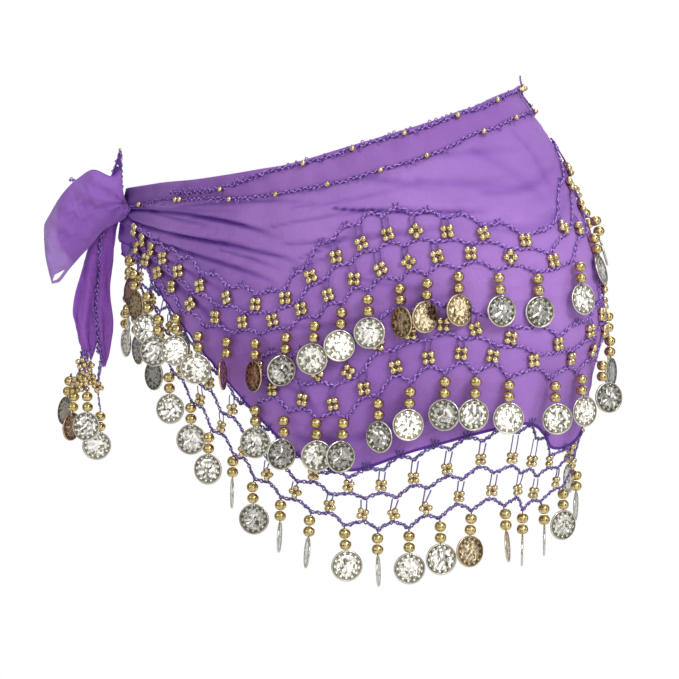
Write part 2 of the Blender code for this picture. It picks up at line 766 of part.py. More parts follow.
def main():
    clear_scene()
    chiffon = material("chiffon", CHIFFON, 0.75)
    deep = material("chiffon_double", CHIFFON_DEEP, 0.75)
    yarn = material("crochet_yarn", YARN, 0.85)
    gilt = material("gilt_metal", GILT, 0.28, 1.0)
    add_wrap("wrap_front", CLOTH.front, FRONT_ROWS, chiffon)
    add_wrap("wrap_back", CLOTH.back, BACK_ROWS, chiffon)
    add_waist(deep, yarn)
    add_nets(yarn, gilt)
    add_knot(chiffon)
    add_loop(chiffon)
    add_tail("tail_wide", TAIL_WIDE, 3, -0.002, chiffon)
    add_tail("tail_narrow", TAIL_NARROW, 2, -0.011, chiffon)
    add_corner_tip(chiffon)
    add_tail_drops(gilt)


main()
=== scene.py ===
import math

import bpy
import numpy as np
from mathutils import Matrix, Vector


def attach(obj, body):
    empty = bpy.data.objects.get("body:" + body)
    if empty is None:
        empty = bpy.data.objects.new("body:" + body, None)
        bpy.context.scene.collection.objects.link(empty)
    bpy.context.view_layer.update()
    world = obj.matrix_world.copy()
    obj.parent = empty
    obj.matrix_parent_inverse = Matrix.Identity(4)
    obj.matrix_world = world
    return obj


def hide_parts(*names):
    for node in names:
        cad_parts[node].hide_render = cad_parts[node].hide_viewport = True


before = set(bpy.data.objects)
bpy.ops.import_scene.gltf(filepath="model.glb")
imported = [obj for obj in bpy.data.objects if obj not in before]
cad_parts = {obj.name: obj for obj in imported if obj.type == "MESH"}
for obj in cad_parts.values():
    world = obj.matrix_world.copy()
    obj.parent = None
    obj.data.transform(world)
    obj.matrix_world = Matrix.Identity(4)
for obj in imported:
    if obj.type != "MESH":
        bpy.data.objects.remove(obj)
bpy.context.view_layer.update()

# A place on the wound cloth is given by along, the way round the girth, and drop, the way down from the
# tilted waist plane. Both are in metres, and so is everything below unless its name says mm or degrees.
hips = dict(
    width=0.350, depth=0.242, guideDegrees=314, tiltDegrees=33, rise=0.245, waistHeight=0.112,
    drop=(0, 0.040, 0.080, 0.120, 0.160, 0.195, 0.235, 0.270, 0.400),
    share=(0.8035, 0.893, 0.943, 0.980, 0.985, 0.950, 0.915, 0.890, 0.860),
    shift=(-0.026, -0.017, -0.010, -0.004, -0.002, -0.0055, -0.0085, -0.011, -0.013),
)
tiltX, tiltY = math.cos(math.radians(hips["tiltDegrees"])), math.sin(math.radians(hips["tiltDegrees"]))
toEye = np.array([tiltY, -tiltX, 0])


def linear(hexColour):
    # sRGB hex to the linear colour that shaders use
    parts = [int(hexColour[i:i + 2], 16) / 255 for i in (0, 2, 4)]
    return tuple(c / 12.92 if c <= 0.04045 else ((c + 0.055) / 1.055) ** 2.4 for c in parts) + (1.0,)


def eased(places, values, at):
    # a curve through a table's rows that never overshoots them, for arrays of places
    places, values, at = np.asarray(places, float), np.asarray(values, float), np.asarray(at, float)
    step = np.diff(places)
    slope = np.diff(values) / step
    tangent = np.zeros(len(places))
    both = slope[:-1] * slope[1:] > 0
    tangent[1:-1][both] = 2 / (1 / slope[:-1][both] + 1 / slope[1:][both])
    tangent[0], tangent[-1] = slope[0], slope[-1]
    at = np.clip(at, places[0], places[-1])
    i = np.clip(np.searchsorted(places, at, side="right") - 1, 0, len(step) - 1)
    u = (at - places[i]) / step[i]
    return (
        values[i] * (1 + 2 * u) * (1 - u) ** 2 + values[i + 1] * u * u * (3 - 2 * u)
        + step[i] * (tangent[i] * u * (1 - u) ** 2 + tangent[i + 1] * u * u * (u - 1))
    )


def ramp(value, low, high):
    u = np.clip((value - low) / (high - low), 0, 1)
    return u * u * (3 - 2 * u)


def between(start, end, share):
    return start * (1 - share) + end * share


def unit(v):
    return v / np.maximum(np.linalg.norm(v, axis=-1, keepdims=True), 1e-12)


def turnedBy(x, y, angle):
    # two crossed ways after a turn in their own plane
    c, s = math.cos(angle), math.sin(angle)
    return x * c + y * s, y * c - x * s


def addToScene(name, data):
    made = bpy.data.objects.new(name, data)
    bpy.context.scene.collection.objects.link(made)
    return made


class Heap:
    # gathers the corners and faces of one piece, then makes its object

    def __init__(self):
        self.spots, self.faces, self.plans, self.tints, self.count = [], [], [], [], 0

    def add(self, spots, *faces, plan=None, tint=0.0):
        # each lot of faces counts its corners from the first of these spots
        spots = np.asarray(spots, float).reshape(-1, 3)
        self.spots.append(spots)
        self.faces += [lot + self.count for lot in faces]
        self.plans.append(np.zeros((len(spots), 2)) if plan is None else plan.reshape(-1, 2))
        self.tints.append(np.broadcast_to(np.asarray(tint, float), (len(spots),)))
        self.count += len(spots)

    def build(self, name, finish):
        mesh = bpy.data.meshes.new(name)
        corners = np.concatenate([lot.ravel() for lot in self.faces])
        sizes = np.concatenate([np.full(len(lot), lot.shape[1]) for lot in self.faces])
        mesh.vertices.add(self.count)
        mesh.vertices.foreach_set("co", np.concatenate(self.spots).ravel())
        mesh.loops.add(len(corners))
        mesh.loops.foreach_set("vertex_index", corners)
        mesh.polygons.add(len(sizes))
        mesh.polygons.foreach_set("loop_start", np.cumsum(sizes) - sizes)
        mesh.polygons.foreach_set("loop_total", sizes)
        mesh.update(calc_edges=True)
        mesh.uv_layers.new(name="plan").data.foreach_set("uv", np.concatenate(self.plans)[corners].ravel())
        mesh.attributes.new("tint", "FLOAT", "POINT").data.foreach_set("value", np.concatenate(self.tints))
        mesh.materials.append(finish)
        mesh.shade_smooth()
        made = addToScene(name, mesh)
        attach(made, "root")
        print(name, "has", int(np.sum(sizes - 2)), "triangles")
        return made


def gridFaces(rows, columns, closed=False):
    # quads of a grid of corners; closed joins its last column to its first
    r, c = np.meshgrid(np.arange(rows - 1), np.arange(columns if closed else columns - 1), indexing="ij")
    here, after = r * columns + c, r * columns + (c + 1) % columns
    return np.stack([here, after, after + columns, here + columns], -1).reshape(-1, 4)


def fan(centre, start, around):
    # triangles from one corner to a ring of them
    n = np.arange(around)
    return np.stack([np.full(around, centre), start + n, start + (n + 1) % around], -1)


def turnedOver(faces):
    # the same faces, looking the other way
    return np.roll(faces[:, ::-1], 1, axis=1)


def gridNormals(grid):
    return unit(np.cross(np.gradient(grid, axis=0), np.gradient(grid, axis=1)))


def addWall(heap, inner, outer, plan, skip=None, tint=0.0):
    # a thin cloth wall between two grids of points, with its rim closed; skip leaves an opening in it
    rows, columns = inner.shape[:2]
    count = rows * columns
    faces = gridFaces(rows, columns)
    if np.sum(gridNormals(outer) * (outer - inner)) > 0:  # the faces look out of the wall
        faces = turnedOver(faces)
    if skip is not None:
        faces = faces[~skip.ravel()]
    edges = np.stack([faces, np.roll(faces, -1, axis=1)], -1).reshape(-1, 2)
    a, b = edges[~np.isin(edges @ (count, 1), edges @ (1, count))].T  # the edges with a face on one side only
    heap.add(
        np.concatenate([outer.reshape(-1, 3), inner.reshape(-1, 3)]),
        faces, faces[:, ::-1] + count, np.stack([b, a, a + count, b + count], -1),
        plan=np.concatenate([plan.reshape(-1, 2)] * 2),
        tint=np.concatenate([np.broadcast_to(tint, inner.shape[:2]).ravel()] * 2),
    )


def evenly(path, ways, step):
    # the same path with its points a fixed step apart
    lengths = np.concatenate([[0], np.cumsum(np.linalg.norm(np.diff(path, axis=0), axis=1))])
    at = np.linspace(0, lengths[-1], max(2, round(lengths[-1] / step) + 1))
    path, ways = (np.stack([np.interp(at, lengths, row[:, i]) for i in range(3)], -1) for row in (path, ways))
    return path, unit(ways), at


def addTube(heap, path, ways, radius, sides, tint=0.0):
    # a round strand along a path, with closed ends; ways is one way out for all of it, or one for each point
    tangent = unit(np.gradient(path, axis=0))
    across = unit(np.cross(ways, tangent))
    out = np.cross(tangent, across)
    turn = (np.arange(sides) * 2 * np.pi / sides)[:, None]
    rings = path[:, None] + radius * (across[:, None] * np.cos(turn) + out[:, None] * np.sin(turn))
    end = len(path) * sides
    heap.add(
        np.concatenate([rings.reshape(-1, 3), path[:1], path[-1:]]), gridFaces(len(path), sides, closed=True),
        turnedOver(fan(end, 0, sides)), fan(end + 1, end - sides, sides), tint=tint,
    )


def roundBead(around, rings, tallness, dent):
    # a unit bead about z, drawn in a little where the thread goes through
    tall, turn = np.linspace(0, np.pi, rings + 1)[1:-1, None], np.arange(around) * 2 * np.pi / around
    high = tallness * (1 - dent * np.exp(-((np.minimum(tall, np.pi - tall) / 0.34) ** 2)))
    spots = np.stack(np.broadcast_arrays(
        np.sin(tall) * np.cos(turn), np.sin(tall) * np.sin(turn), np.cos(tall) * high), -1).reshape(-1, 3)
    end, count = tallness * (1 - 1.6 * dent), len(spots)
    return (
        np.concatenate([spots, [[0, 0, end], [0, 0, -end]]]), gridFaces(rings - 1, around, closed=True)[:, ::-1],
        fan(count, 0, around), turnedOver(fan(count + 1, count - around, around)))


def addBeads(heap, shape, centres, radius, axis=None):
    spots, *faces = shape
    spots = spots * radius
    if axis is not None:
        z = unit(axis)
        x = unit(np.cross(z, [0.3, 0.8, 0.5]))
        spots = spots @ np.stack([x, np.cross(z, x), z])
    for centre in centres:
        heap.add(spots + centre, *faces)


wrap = dict(
    along=(
        -.290, -.250, -.215, -.172, -.131, -.107, -.084, -.065, -.049, -.011, .036,
        .055, .066, .090, .106, .120, .140, .155, .200, .250, .320, .450, .600, .640),
    waist=(
        -.004, -.002, 0, .004, .007, .0085, .010, .0097, .009, .0075, .005,
        .003, .0025, -.001, -.0025, -.0035, -.0055, -.006, -.002, .003, .006, .006, .003, .002),
    turnover=(
        .013, .011, .010, .011, .015, .016, .017, .018, .019, .0197, .018,
        .016, .016, .016, .017, .017, .018, .018, .016, .014, .014, .013, .010, .008),
    hem=(
        .030, .040, .070, .114, .160, .182, .2005, .209, .212, .208, .207,
        .208, .210, .221, .233, .2355, .230, .214, .156, .116, .086, .066, .046, .038),
    knotEnd=-0.2905, backEnd=0.634,
)
girthAngles = np.linspace(0, 2 * np.pi, 2881)
girthLengths = np.concatenate([[0], np.cumsum(np.hypot(
    hips["width"] / 2 * np.diff(np.cos(girthAngles)), hips["depth"] / 2 * np.diff(np.sin(girthAngles))
))])
girth = girthLengths[-1]
guideLength = np.interp(math.radians(hips["guideDegrees"]), girthAngles, girthLengths)


def onHips(along, drop, push):
    # a point `push` out from the hips, and the way out there
    along, drop = np.broadcast_arrays(np.asarray(along, float), np.asarray(drop, float))
    angle = np.interp((guideLength + along) % girth, girthLengths, girthAngles)
    share, shift = eased(hips["drop"], hips["share"], drop), eased(hips["drop"], hips["shift"], drop)
    x, y = hips["width"] / 2 * np.cos(angle), hips["depth"] / 2 * np.sin(angle)
    outward = unit(np.stack([x / hips["width"] ** 2, y / hips["depth"] ** 2, np.zeros_like(x)], -1))
    x = x * share + shift * tiltX + outward[..., 0] * push
    y = y * share + shift * tiltY + outward[..., 1] * push
    z = hips["waistHeight"] - drop + hips["rise"] * (x * tiltX + y * tiltY)
    return np.stack([x, y, z], -1), outward


knotPlace = dict(along=-0.2935, drop=0.008, out=0.0085)
knotMiddle, _ = onHips(knotPlace["along"], knotPlace["drop"], knotPlace["out"])
creases = dict(
    # each runs from one place through another to a third, and is so deep and so wide there
    lines=(
        dict(along=(-.289, -.206, -.130), drop=(.007, .017, .031), deep=.0012, wide=.0009),
        dict(along=(-.288, -.173, -.097), drop=(.010, .026, .056), deep=.0026, wide=.0011),
        dict(along=(-.284, -.168, -.122), drop=(.014, .042, .056), deep=.0024, wide=.0011),
        dict(along=(-.200, -.123, -.086), drop=(.034, .057, .074), deep=.0020, wide=.0010),
        dict(along=(-.280, -.162, -.103), drop=(.019, .056, .085), deep=.0022, wide=.0012),
        dict(along=(-.200, -.119, -.065), drop=(.017, .026, .039), deep=.0012, wide=.0011),
        dict(along=(-.240, -.190, -.150), drop=(.014, .026, .038), deep=.0012, wide=.0010),
        dict(along=(-.180, -.140, -.105), drop=(.026, .036, .050), deep=.0011, wide=.0010),
        dict(along=(-.150, -.125, -.098), drop=(.052, .062, .076), deep=.0012, wide=.0009),
        dict(along=(-.230, -.180, -.140), drop=(.040, .062, .086), deep=.0014, wide=.0012),
        dict(along=(-.088, -.062, -.040), drop=(.070, .066, .058), deep=.0014, wide=.0010),
        dict(along=(-.096, -.072, -.050), drop=(.076, .074, .068), deep=.0010, wide=.0010),
        dict(along=(-.110, -.048, .010), drop=(.046, .049, .058), deep=.0010, wide=.0011),
        dict(along=(-.100, -.037, .030), drop=(.058, .067, .074), deep=.0012, wide=.0014),
        dict(along=(-.262, -.190, -.130), drop=(.032, .072, .125), deep=.0016, wide=.0018),
        dict(along=(-.090, -.040, .010), drop=(.036, .041, .040), deep=.0007, wide=.0012),
        dict(along=(-.060, -.010, .045), drop=(.043, .057, .070), deep=.0030, wide=.0009),
        dict(along=(.040, .080, .120), drop=(.056, .060, .048), deep=.0008, wide=.0026),
        dict(along=(.000, .030, .082), drop=(.038, .047, .060), deep=.0010, wide=.0028),
        dict(along=(-.065, -.020, .022), drop=(.018, .033, .052), deep=.0010, wide=.0022),
        dict(along=(.045, .072, .096), drop=(.026, .050, .080), deep=.0006, wide=.0034),
        dict(along=(.088, .097, .101), drop=(.020, .045, .075), deep=.0007, wide=.0026),
        dict(along=(.010, .050, .085), drop=(.024, .030, .034), deep=.0007, wide=.0022),
        dict(along=(.030, .080, .130), drop=(.075, .086, .066), deep=.0008, wide=.0026),
        dict(along=(-.110, -.040, .020), drop=(.110, .118, .112), deep=.0010, wide=.0020),
        dict(along=(-.060, -.030, -.005), drop=(.085, .100, .108), deep=.0010, wide=.0014),
        dict(along=(-.100, -.050, .000), drop=(.180, .190, .178), deep=.0012, wide=.0024),
        dict(along=(-.120, -.095, -.080), drop=(.140, .155, .176), deep=.0010, wide=.0016),
        dict(along=(.630, .540, .420), drop=(.010, .016, .030), deep=.0032, wide=.0022),
        dict(along=(.630, .550, .450), drop=(.017, .026, .046), deep=.0030, wide=.0022),
        dict(along=(.630, .560, .480), drop=(.024, .036, .058), deep=.0024, wide=.0022),
        dict(along=(.420, .300, .200), drop=(.040, .052, .080), deep=.0014, wide=.0034),
        dict(along=(.300, .220, .150), drop=(.070, .095, .150), deep=.0012, wide=.0036),
    ),
    knotGathers=.0011, backGathers=.0012, hemFolds=.0035, softFolds=.0016, wrinkles=.00042, leaves=.0055,
)


def edgeDrop(key, along):
    return eased(wrap["along"], wrap[key], along)


def nearEnds(along, front, back):
    # 1 at the cloth's two ends, fading within these reaches
    return np.exp((wrap["knotEnd"] - along) / front) + np.exp((along - wrap["backEnd"]) / back)


def foldOut(along, drop):
    # how far the wide folds push the cloth out: gathers from the knot, and soft folds at the hem
    waist, hem = edgeDrop("waist", along), edgeDrop("hem", along)
    before, after = knotPlace["along"] - along, along - knotPlace["along"] - girth
    share = np.minimum(1, (drop - waist) / (hem - waist))
    fade = np.exp(-np.maximum(0, drop - hem) / 0.060) * ramp(drop, waist + 0.010, waist + 0.028)
    front = creases["knotGathers"] * np.exp(before / 0.120) * (1 + np.cos(2 * np.pi * 3.2 * share + 0.6))
    back = creases["backGathers"] * np.exp(after / 0.110) * (1 + np.cos(2 * np.pi * 1.6 * share))
    hang = creases["hemFolds"] * ramp(drop, .130, .215) * ramp(along, .010, .060) * (1 - ramp(along, .150, .190))
    soft = creases["softFolds"] * ramp(drop, 0.090, 0.190) * np.sin(along / 0.019)
    leave = creases["leaves"] * (np.exp(before / 0.020) + np.exp(after / 0.020))  # it leaves the hips at the knot
    return (front + back) * fade + hang * np.sin((along - 0.030) / 0.0145) + soft + leave


def creaseIn(along, drop):
    # how much painted shade the drawn creases lay along their folds and near the cloth's two ends, and how far they
    # and the small wrinkles move the cloth
    depth = np.zeros(np.broadcast(along, drop).shape)
    creaseShade = np.zeros(depth.shape)
    for line in creases["lines"]:
        u = np.linspace(0, 1, 25)
        a, d = (
            (1 - u) ** 2 * line[key][0] + 2 * u * (1 - u) * (2 * line[key][1] - (line[key][0] + line[key][2]) / 2)
            + u * u * line[key][2] for key in ("along", "drop")
        )
        best, side, place = np.full(depth.shape, 9.0), np.zeros(depth.shape), np.zeros(depth.shape)
        for n in range(len(u) - 1):
            va, vd = a[n + 1] - a[n], d[n + 1] - d[n]
            t = np.clip(((along - a[n]) * va + (drop - d[n]) * vd) / (va * va + vd * vd), 0, 1)
            ra, rd = along - a[n] - t * va, drop - d[n] - t * vd
            far = np.hypot(ra, rd)
            near = far < best
            best = np.where(near, far, best)
            side = np.where(near, np.sign(va * rd - vd * ra) * far, side)
            place = np.where(near, (n + t) / (len(u) - 1), place)
        swell = np.minimum(1, np.minimum(place / 0.06, (1 - place) / 0.35) + 0.02) * line["deep"]
        w = line["wide"] * (0.8 + 0.7 * place)
        depth += swell * (-np.exp(-((side / w) ** 2)) + 0.55 * np.exp(-(((side + 1.7 * w) / (1.3 * w)) ** 2)))
        # painted shade along one side of each crease, and below it near the knot and the cloth's back end
        creaseShade += swell / 0.0030 * np.exp(-(((side - 0.3 * w) / (1.0 * w)) ** 2))
    creaseShade += 0.75 * nearEnds(along, 0.026, 0.018)
    fine = (
        np.sin(drop * 620 + along * 90 + 2.2 * np.sin(along * 41)) * np.sin(along * 75 + 1.7 * np.sin(drop * 60))
        + 0.6 * np.sin(drop * 310 - along * 150 + 1.9 * np.sin(along * 23 + 1)) * np.sin(along * 47 + 0.6)
    )
    waist = edgeDrop("waist", along)
    return creaseShade, depth + creases["wrinkles"] * fine * ramp(drop, waist + .006, waist + .030)


def clothSpot(along, drop, out):
    # a point over the cloth, out from its inner side, and the way out there
    along, drop = np.broadcast_arrays(np.asarray(along, float), np.asarray(drop, float))
    return onHips(along, drop, foldOut(along, drop) + out)


def intoKnot(grid, plan):
    # four more columns at each end that gather the cloth to the knot, half way in front and 0.82 behind
    left = np.array([1.0, 0.75, 0.5, 0.25])[None, :, None]
    first, last, aside = grid[:, :1], grid[:, -1:], np.array([0.010, 0])
    before = first + (knotMiddle - first) * 0.50 * left
    after = last + (knotMiddle - last) * 0.82 * np.sqrt(1.25 - left)
    plans = [plan[:, :1] - aside * left, plan, plan[:, -1:] + aside * (1.25 - left)]
    return np.concatenate([before, grid, after], 1), np.concatenate(plans, 1)


def setSockets(tree, node, sockets):
    for key, value in sockets.items():
        if isinstance(value, bpy.types.NodeSocket):
            tree.links.new(value, node.inputs[key])
        else:
            node.inputs[key].default_value = value


def addNode(tree, kind, sockets=None, stops=(), **settings):
    # a node with its settings and links, and the stops where it is a colour ramp
    made = tree.nodes.new(kind)
    for key, value in settings.items():
        setattr(made, key, value)
    setSockets(tree, made, sockets or {})
    bits = made.color_ramp.elements if stops else []
    while len(bits) < len(stops):
        bits.new(0.5)
    for bit, (place, colour) in zip(bits, stops):
        bit.position, bit.color = place, colour
    return made


def startMaterial(name):
    made = bpy.data.materials.new(name)
    made.use_nodes = True
    return made, made.node_tree, made.node_tree.nodes["Principled BSDF"]


black, white = (0, 0, 0, 1), (1, 1, 1, 1)

# Polyester chiffon, plain woven from hard-twisted yarn: matt, with a soft sheen and faint slubs both ways.
# Its real thread spacing is 0.35 mm; the slubs are drawn about 1 mm wide, as fine as the render can show.
# Its crumples are about 18 mm across, and its shade drifts over some 110 mm.
chiffonFacts = dict(
    slubPerMetre=950, slubLong=120, crumplePerMetre=55, shadePerMetre=9, roughness=0.78, specular=0.25,
    sheenRoughness=0.45, sheenTint="D9B8F2", slubHigh=0.0003, crumpleHigh=0.004,
)
# Each kind's last colour is where the cloth is folded or painted in shade: painted shade along creases and near the
# knot, the rolled hem's real extra layers, and for the sheer kind its paler rim.
chiffonKinds = dict(
    chiffon=dict(dark="9264B7", middle="A073C4", light="AF81D1", sheen=0.15, crumple=0.6, foldedOrShaded="5C2E98"),
    doubledChiffon=dict(dark="8759AA", middle="9768B9", light="A678C6", sheen=0.20, crumple=0.5, foldedOrShaded="45206E"),
    sheerChiffon=dict(
        dark="8E5CB9", middle="9C6AC6", light="AC7ED3", sheen=0.30, crumple=1.0, foldedOrShaded="B88ADE", cover=(0.92, 0.58)),
    gatheredChiffon=dict(dark="8A4EB2", middle="9F63C5", light="B87EDA", sheen=0.25, crumple=1.5, foldedOrShaded="5E3296"),
    knottedChiffon=dict(dark="542C84", middle="623A92", light="7048A0", sheen=0.20, crumple=0.9),
)


def makeChiffon(name, dark, middle, light, sheen, crumple, foldedOrShaded=None, cover=None):
    facts = chiffonFacts
    made, tree, shader = startMaterial(name)
    place = addNode(tree, "ShaderNodeTexCoord").outputs["Object"]
    shade = addNode(tree, "ShaderNodeTexNoise", {
        "Vector": place, "Scale": facts["shadePerMetre"], "Detail": 3.0, "Roughness": 0.5})
    plan = addNode(tree, "ShaderNodeUVMap", uv_map="plan")
    slubs = []
    for scale in ((facts["slubPerMetre"], facts["slubLong"], 1), (facts["slubLong"], facts["slubPerMetre"], 1)):
        mapped = addNode(tree, "ShaderNodeMapping", {"Vector": plan.outputs["UV"], "Scale": scale})
        noise = addNode(tree, "ShaderNodeTexNoise", {"Vector": mapped.outputs["Vector"], "Scale": 1.0, "Detail": 2.0})
        slubs.append(noise.outputs["Fac"])
    weave = addNode(tree, "ShaderNodeMath", {0: slubs[0], 1: slubs[1]}, operation="ADD")
    weave = addNode(tree, "ShaderNodeMath", {0: weave.outputs[0], 1: 0.5}, operation="MULTIPLY").outputs[0]
    colour = addNode(tree, "ShaderNodeValToRGB", {"Fac": shade.outputs["Fac"]}, stops=(
        (0.30, linear(dark)), (0.5, linear(middle)), (0.70, linear(light))))
    threads = addNode(tree, "ShaderNodeValToRGB", {"Fac": weave}, stops=(
        (0.30, (0.93, 0.93, 0.93, 1)), (0.70, white)))
    mixed = addNode(tree, "ShaderNodeMix", {
        0: 1.0, 6: colour.outputs["Color"], 7: threads.outputs["Color"]}, data_type="RGBA", blend_type="MULTIPLY")
    tint = addNode(tree, "ShaderNodeAttribute", attribute_name="tint").outputs["Fac"]
    if foldedOrShaded:  # the colour turns to the last one where the tint is up: painted shade along creases and near the knot, the rolled hem's real extra layers, and on the sheer loop its paler single-layer rim
        mixed = addNode(tree, "ShaderNodeMix", {
            0: tint, 6: mixed.outputs[2], 7: linear(foldedOrShaded)}, data_type="RGBA", blend_type="MIX")
    folds = addNode(tree, "ShaderNodeTexNoise", {
        "Vector": place, "Scale": facts["crumplePerMetre"], "Detail": 5.0, "Roughness": 0.55})
    low = addNode(tree, "ShaderNodeBump", {
        "Height": folds.outputs["Fac"], "Strength": min(crumple, 1.0),
        "Distance": facts["crumpleHigh"] * max(crumple, 1.0)})
    fine = addNode(tree, "ShaderNodeBump", {
        "Height": weave, "Strength": 0.35, "Distance": facts["slubHigh"], "Normal": low.outputs["Normal"]})
    setSockets(tree, shader, {
        "Base Color": mixed.outputs[2], "Normal": fine.outputs["Normal"], "Roughness": facts["roughness"],
        "Specular IOR Level": facts["specular"], "Sheen Weight": sheen, "Sheen Roughness": facts["sheenRoughness"],
        "Sheen Tint": linear(facts["sheenTint"])})
    if cover:  # one layer of it lets the light through towards its rim
        seen = addNode(tree, "ShaderNodeMapRange", {
            "Value": tint, "From Min": 0.0, "From Max": 1.0, "To Min": cover[0], "To Max": cover[1]})
        setSockets(tree, shader, {"Alpha": seen.outputs["Result"]})
    return made


# Crocheted polyester yarn, 0.6 to 0.9 mm thick: deep violet. Its pale flecks, where its twist catches light, are
# painted highlights, and each strand is painted lit or shaded by its tint.
# The real flecks are finer than a thread; they are drawn 1.4 mm long, so that they show in the render.
yarnFacts = dict(
    fleckPerMetre=700, dark="280C50", middle="5C2C98", light="A86EE4", bright="DCB2FF", roughness=0.55,
    sheen=0.15, sheenRoughness=0.4, sheenTint="DCC0F8", hairHigh=0.0004,
)


def makeYarn(name, facts):
    made, tree, shader = startMaterial(name)
    place = addNode(tree, "ShaderNodeTexCoord")
    fleck = addNode(tree, "ShaderNodeTexNoise", {
        "Vector": place.outputs["Object"], "Scale": facts["fleckPerMetre"], "Detail": 2.0, "Roughness": 0.6})
    shaded = addNode(tree, "ShaderNodeValToRGB", {"Fac": fleck.outputs["Fac"]}, stops=(
        (0.34, linear(facts["dark"])), (0.62, linear(facts["middle"]))))
    lit = addNode(tree, "ShaderNodeValToRGB", {"Fac": fleck.outputs["Fac"]}, stops=(
        (0.34, linear(facts["light"])), (0.64, linear(facts["bright"]))))
    # each strand's tint mixes the shaded colours with the lit ones: painted shade and painted highlight
    strand = addNode(tree, "ShaderNodeAttribute", attribute_name="tint")
    mixed = addNode(tree, "ShaderNodeMix", {
        0: strand.outputs["Fac"], 6: shaded.outputs["Color"], 7: lit.outputs["Color"]},
        data_type="RGBA", blend_type="MIX")
    hair = addNode(tree, "ShaderNodeBump", {
        "Height": fleck.outputs["Fac"], "Strength": 0.5, "Distance": facts["hairHigh"]})
    setSockets(tree, shader, {
        "Base Color": mixed.outputs[2], "Normal": hair.outputs["Normal"], "Roughness": facts["roughness"],
        "Sheen Weight": facts["sheen"], "Sheen Roughness": facts["sheenRoughness"],
        "Sheen Tint": linear(facts["sheenTint"])})
    return made


# Hollow plastic beads plated in yellow gold: a mirror finish, barely worn in spots of 2.4 mm.
beadFacts = dict(colour="E6D29A", worn="B8A262", spotPerMetre=420, roughness=0.15)


def makeGilt(name, facts):
    made, tree, shader = startMaterial(name)
    place = addNode(tree, "ShaderNodeTexCoord")
    spots = addNode(tree, "ShaderNodeTexNoise", {
        "Vector": place.outputs["Object"], "Scale": facts["spotPerMetre"], "Detail": 3.0})
    colour = addNode(tree, "ShaderNodeValToRGB", {"Fac": spots.outputs["Fac"]}, stops=(
        (0.38, linear(facts["worn"])), (0.62, linear(facts["colour"]))))
    rough = addNode(tree, "ShaderNodeMapRange", {
        "Value": spots.outputs["Fac"], "From Min": 0.3, "From Max": 0.7,
        "To Min": facts["roughness"] * 1.6, "To Max": facts["roughness"] * 0.8})
    setSockets(tree, shader, {
        "Base Color": colour.outputs["Color"], "Roughness": rough.outputs["Result"], "Metallic": 1.0})
    return made


# Stamped tin-plate coins with a thin pale gilding: hammered relief, darker in its hollows, a few gone coppery.
# The stamped strokes are 3.4 mm long, and the wear between smooth and dull is 4 mm across.
coinFacts = dict(
    pale="FBF8F0", gold="FAE0B4", copper="C89088", hollow="8C887A", strokesPerMetre=290, wearPerMetre=260,
    dots=13, radius=0.010, roughness=0.21, reliefHigh=0.0003,
)


def makeCoinMetal(name, facts):
    made, tree, shader = startMaterial(name)
    plan = addNode(tree, "ShaderNodeUVMap", uv_map="plan").outputs["UV"]
    place = addNode(tree, "ShaderNodeTexCoord").outputs["Object"]
    far = addNode(tree, "ShaderNodeVectorMath", {0: plan}, operation="LENGTH")
    far = addNode(tree, "ShaderNodeMapRange", {
        "Value": far.outputs["Value"], "From Min": 0.0, "From Max": facts["radius"]}).outputs["Result"]
    parts = addNode(tree, "ShaderNodeSeparateXYZ", {"Vector": plan}).outputs
    turn = addNode(tree, "ShaderNodeMath", {0: parts["Y"], 1: parts["X"]}, operation="ARCTAN2")
    turn = addNode(tree, "ShaderNodeMath", {0: turn.outputs[0], 1: float(facts["dots"])}, operation="MULTIPLY")
    wave = addNode(tree, "ShaderNodeMath", {0: turn.outputs[0]}, operation="COSINE")
    noise = addNode(tree, "ShaderNodeTexNoise", {
        "Vector": place, "Scale": facts["strokesPerMetre"], "Detail": 1.0, "Distortion": 1.2})
    rim, band, centre, dot, stroke = (
        addNode(tree, "ShaderNodeValToRGB", {"Fac": value}, stops=stops).outputs["Color"] for value, stops in (
            (far, ((0.91, black), (0.94, (0.6, 0.6, 0.6, 1)))),
            (far, ((0.69, black), (0.74, white), (0.81, white), (0.86, black))),
            (far, ((0.66, white), (0.72, black))),
            (wave.outputs[0], ((0.25, black), (0.60, white))),
            (noise.outputs["Fac"], ((0.39, black), (0.45, white))),
        ))
    dots = addNode(tree, "ShaderNodeMath", {0: dot, 1: band}, operation="MULTIPLY")
    strokes = addNode(tree, "ShaderNodeMath", {0: stroke, 1: centre}, operation="MULTIPLY")
    raised = addNode(tree, "ShaderNodeMath", {0: dots.outputs[0], 1: strokes.outputs[0]}, operation="ADD")
    raised = addNode(tree, "ShaderNodeMath", {0: raised.outputs[0], 1: rim}, operation="ADD").outputs[0]
    shade = addNode(tree, "ShaderNodeValToRGB", {"Fac": raised}, stops=((0.0, linear(facts["hollow"])), (1.0, white)))
    tint = addNode(tree, "ShaderNodeAttribute", attribute_name="tint")
    metal = addNode(tree, "ShaderNodeValToRGB", {"Fac": tint.outputs["Fac"]}, stops=(
        (0.0, linear(facts["pale"])), (0.5, linear(facts["gold"])), (1.0, linear(facts["copper"]))))
    mixed = addNode(tree, "ShaderNodeMix", {
        0: 1.0, 6: metal.outputs["Color"], 7: shade.outputs["Color"]}, data_type="RGBA", blend_type="MULTIPLY")
    bump = addNode(tree, "ShaderNodeBump", {"Height": raised, "Strength": 0.10, "Distance": facts["reliefHigh"]})
    wear = addNode(tree, "ShaderNodeTexNoise", {"Vector": place, "Scale": facts["wearPerMetre"], "Detail": 2.0})
    rough = addNode(tree, "ShaderNodeMapRange", {
        "Value": wear.outputs["Fac"], "From Min": 0.3, "From Max": 0.7,
        "To Min": facts["roughness"] * 1.5, "To Max": facts["roughness"] * 0.8})
    setSockets(tree, shader, {
        "Base Color": mixed.outputs[2], "Normal": bump.outputs["Normal"], "Roughness": rough.outputs["Result"],
        "Metallic": 1.0})
    return made


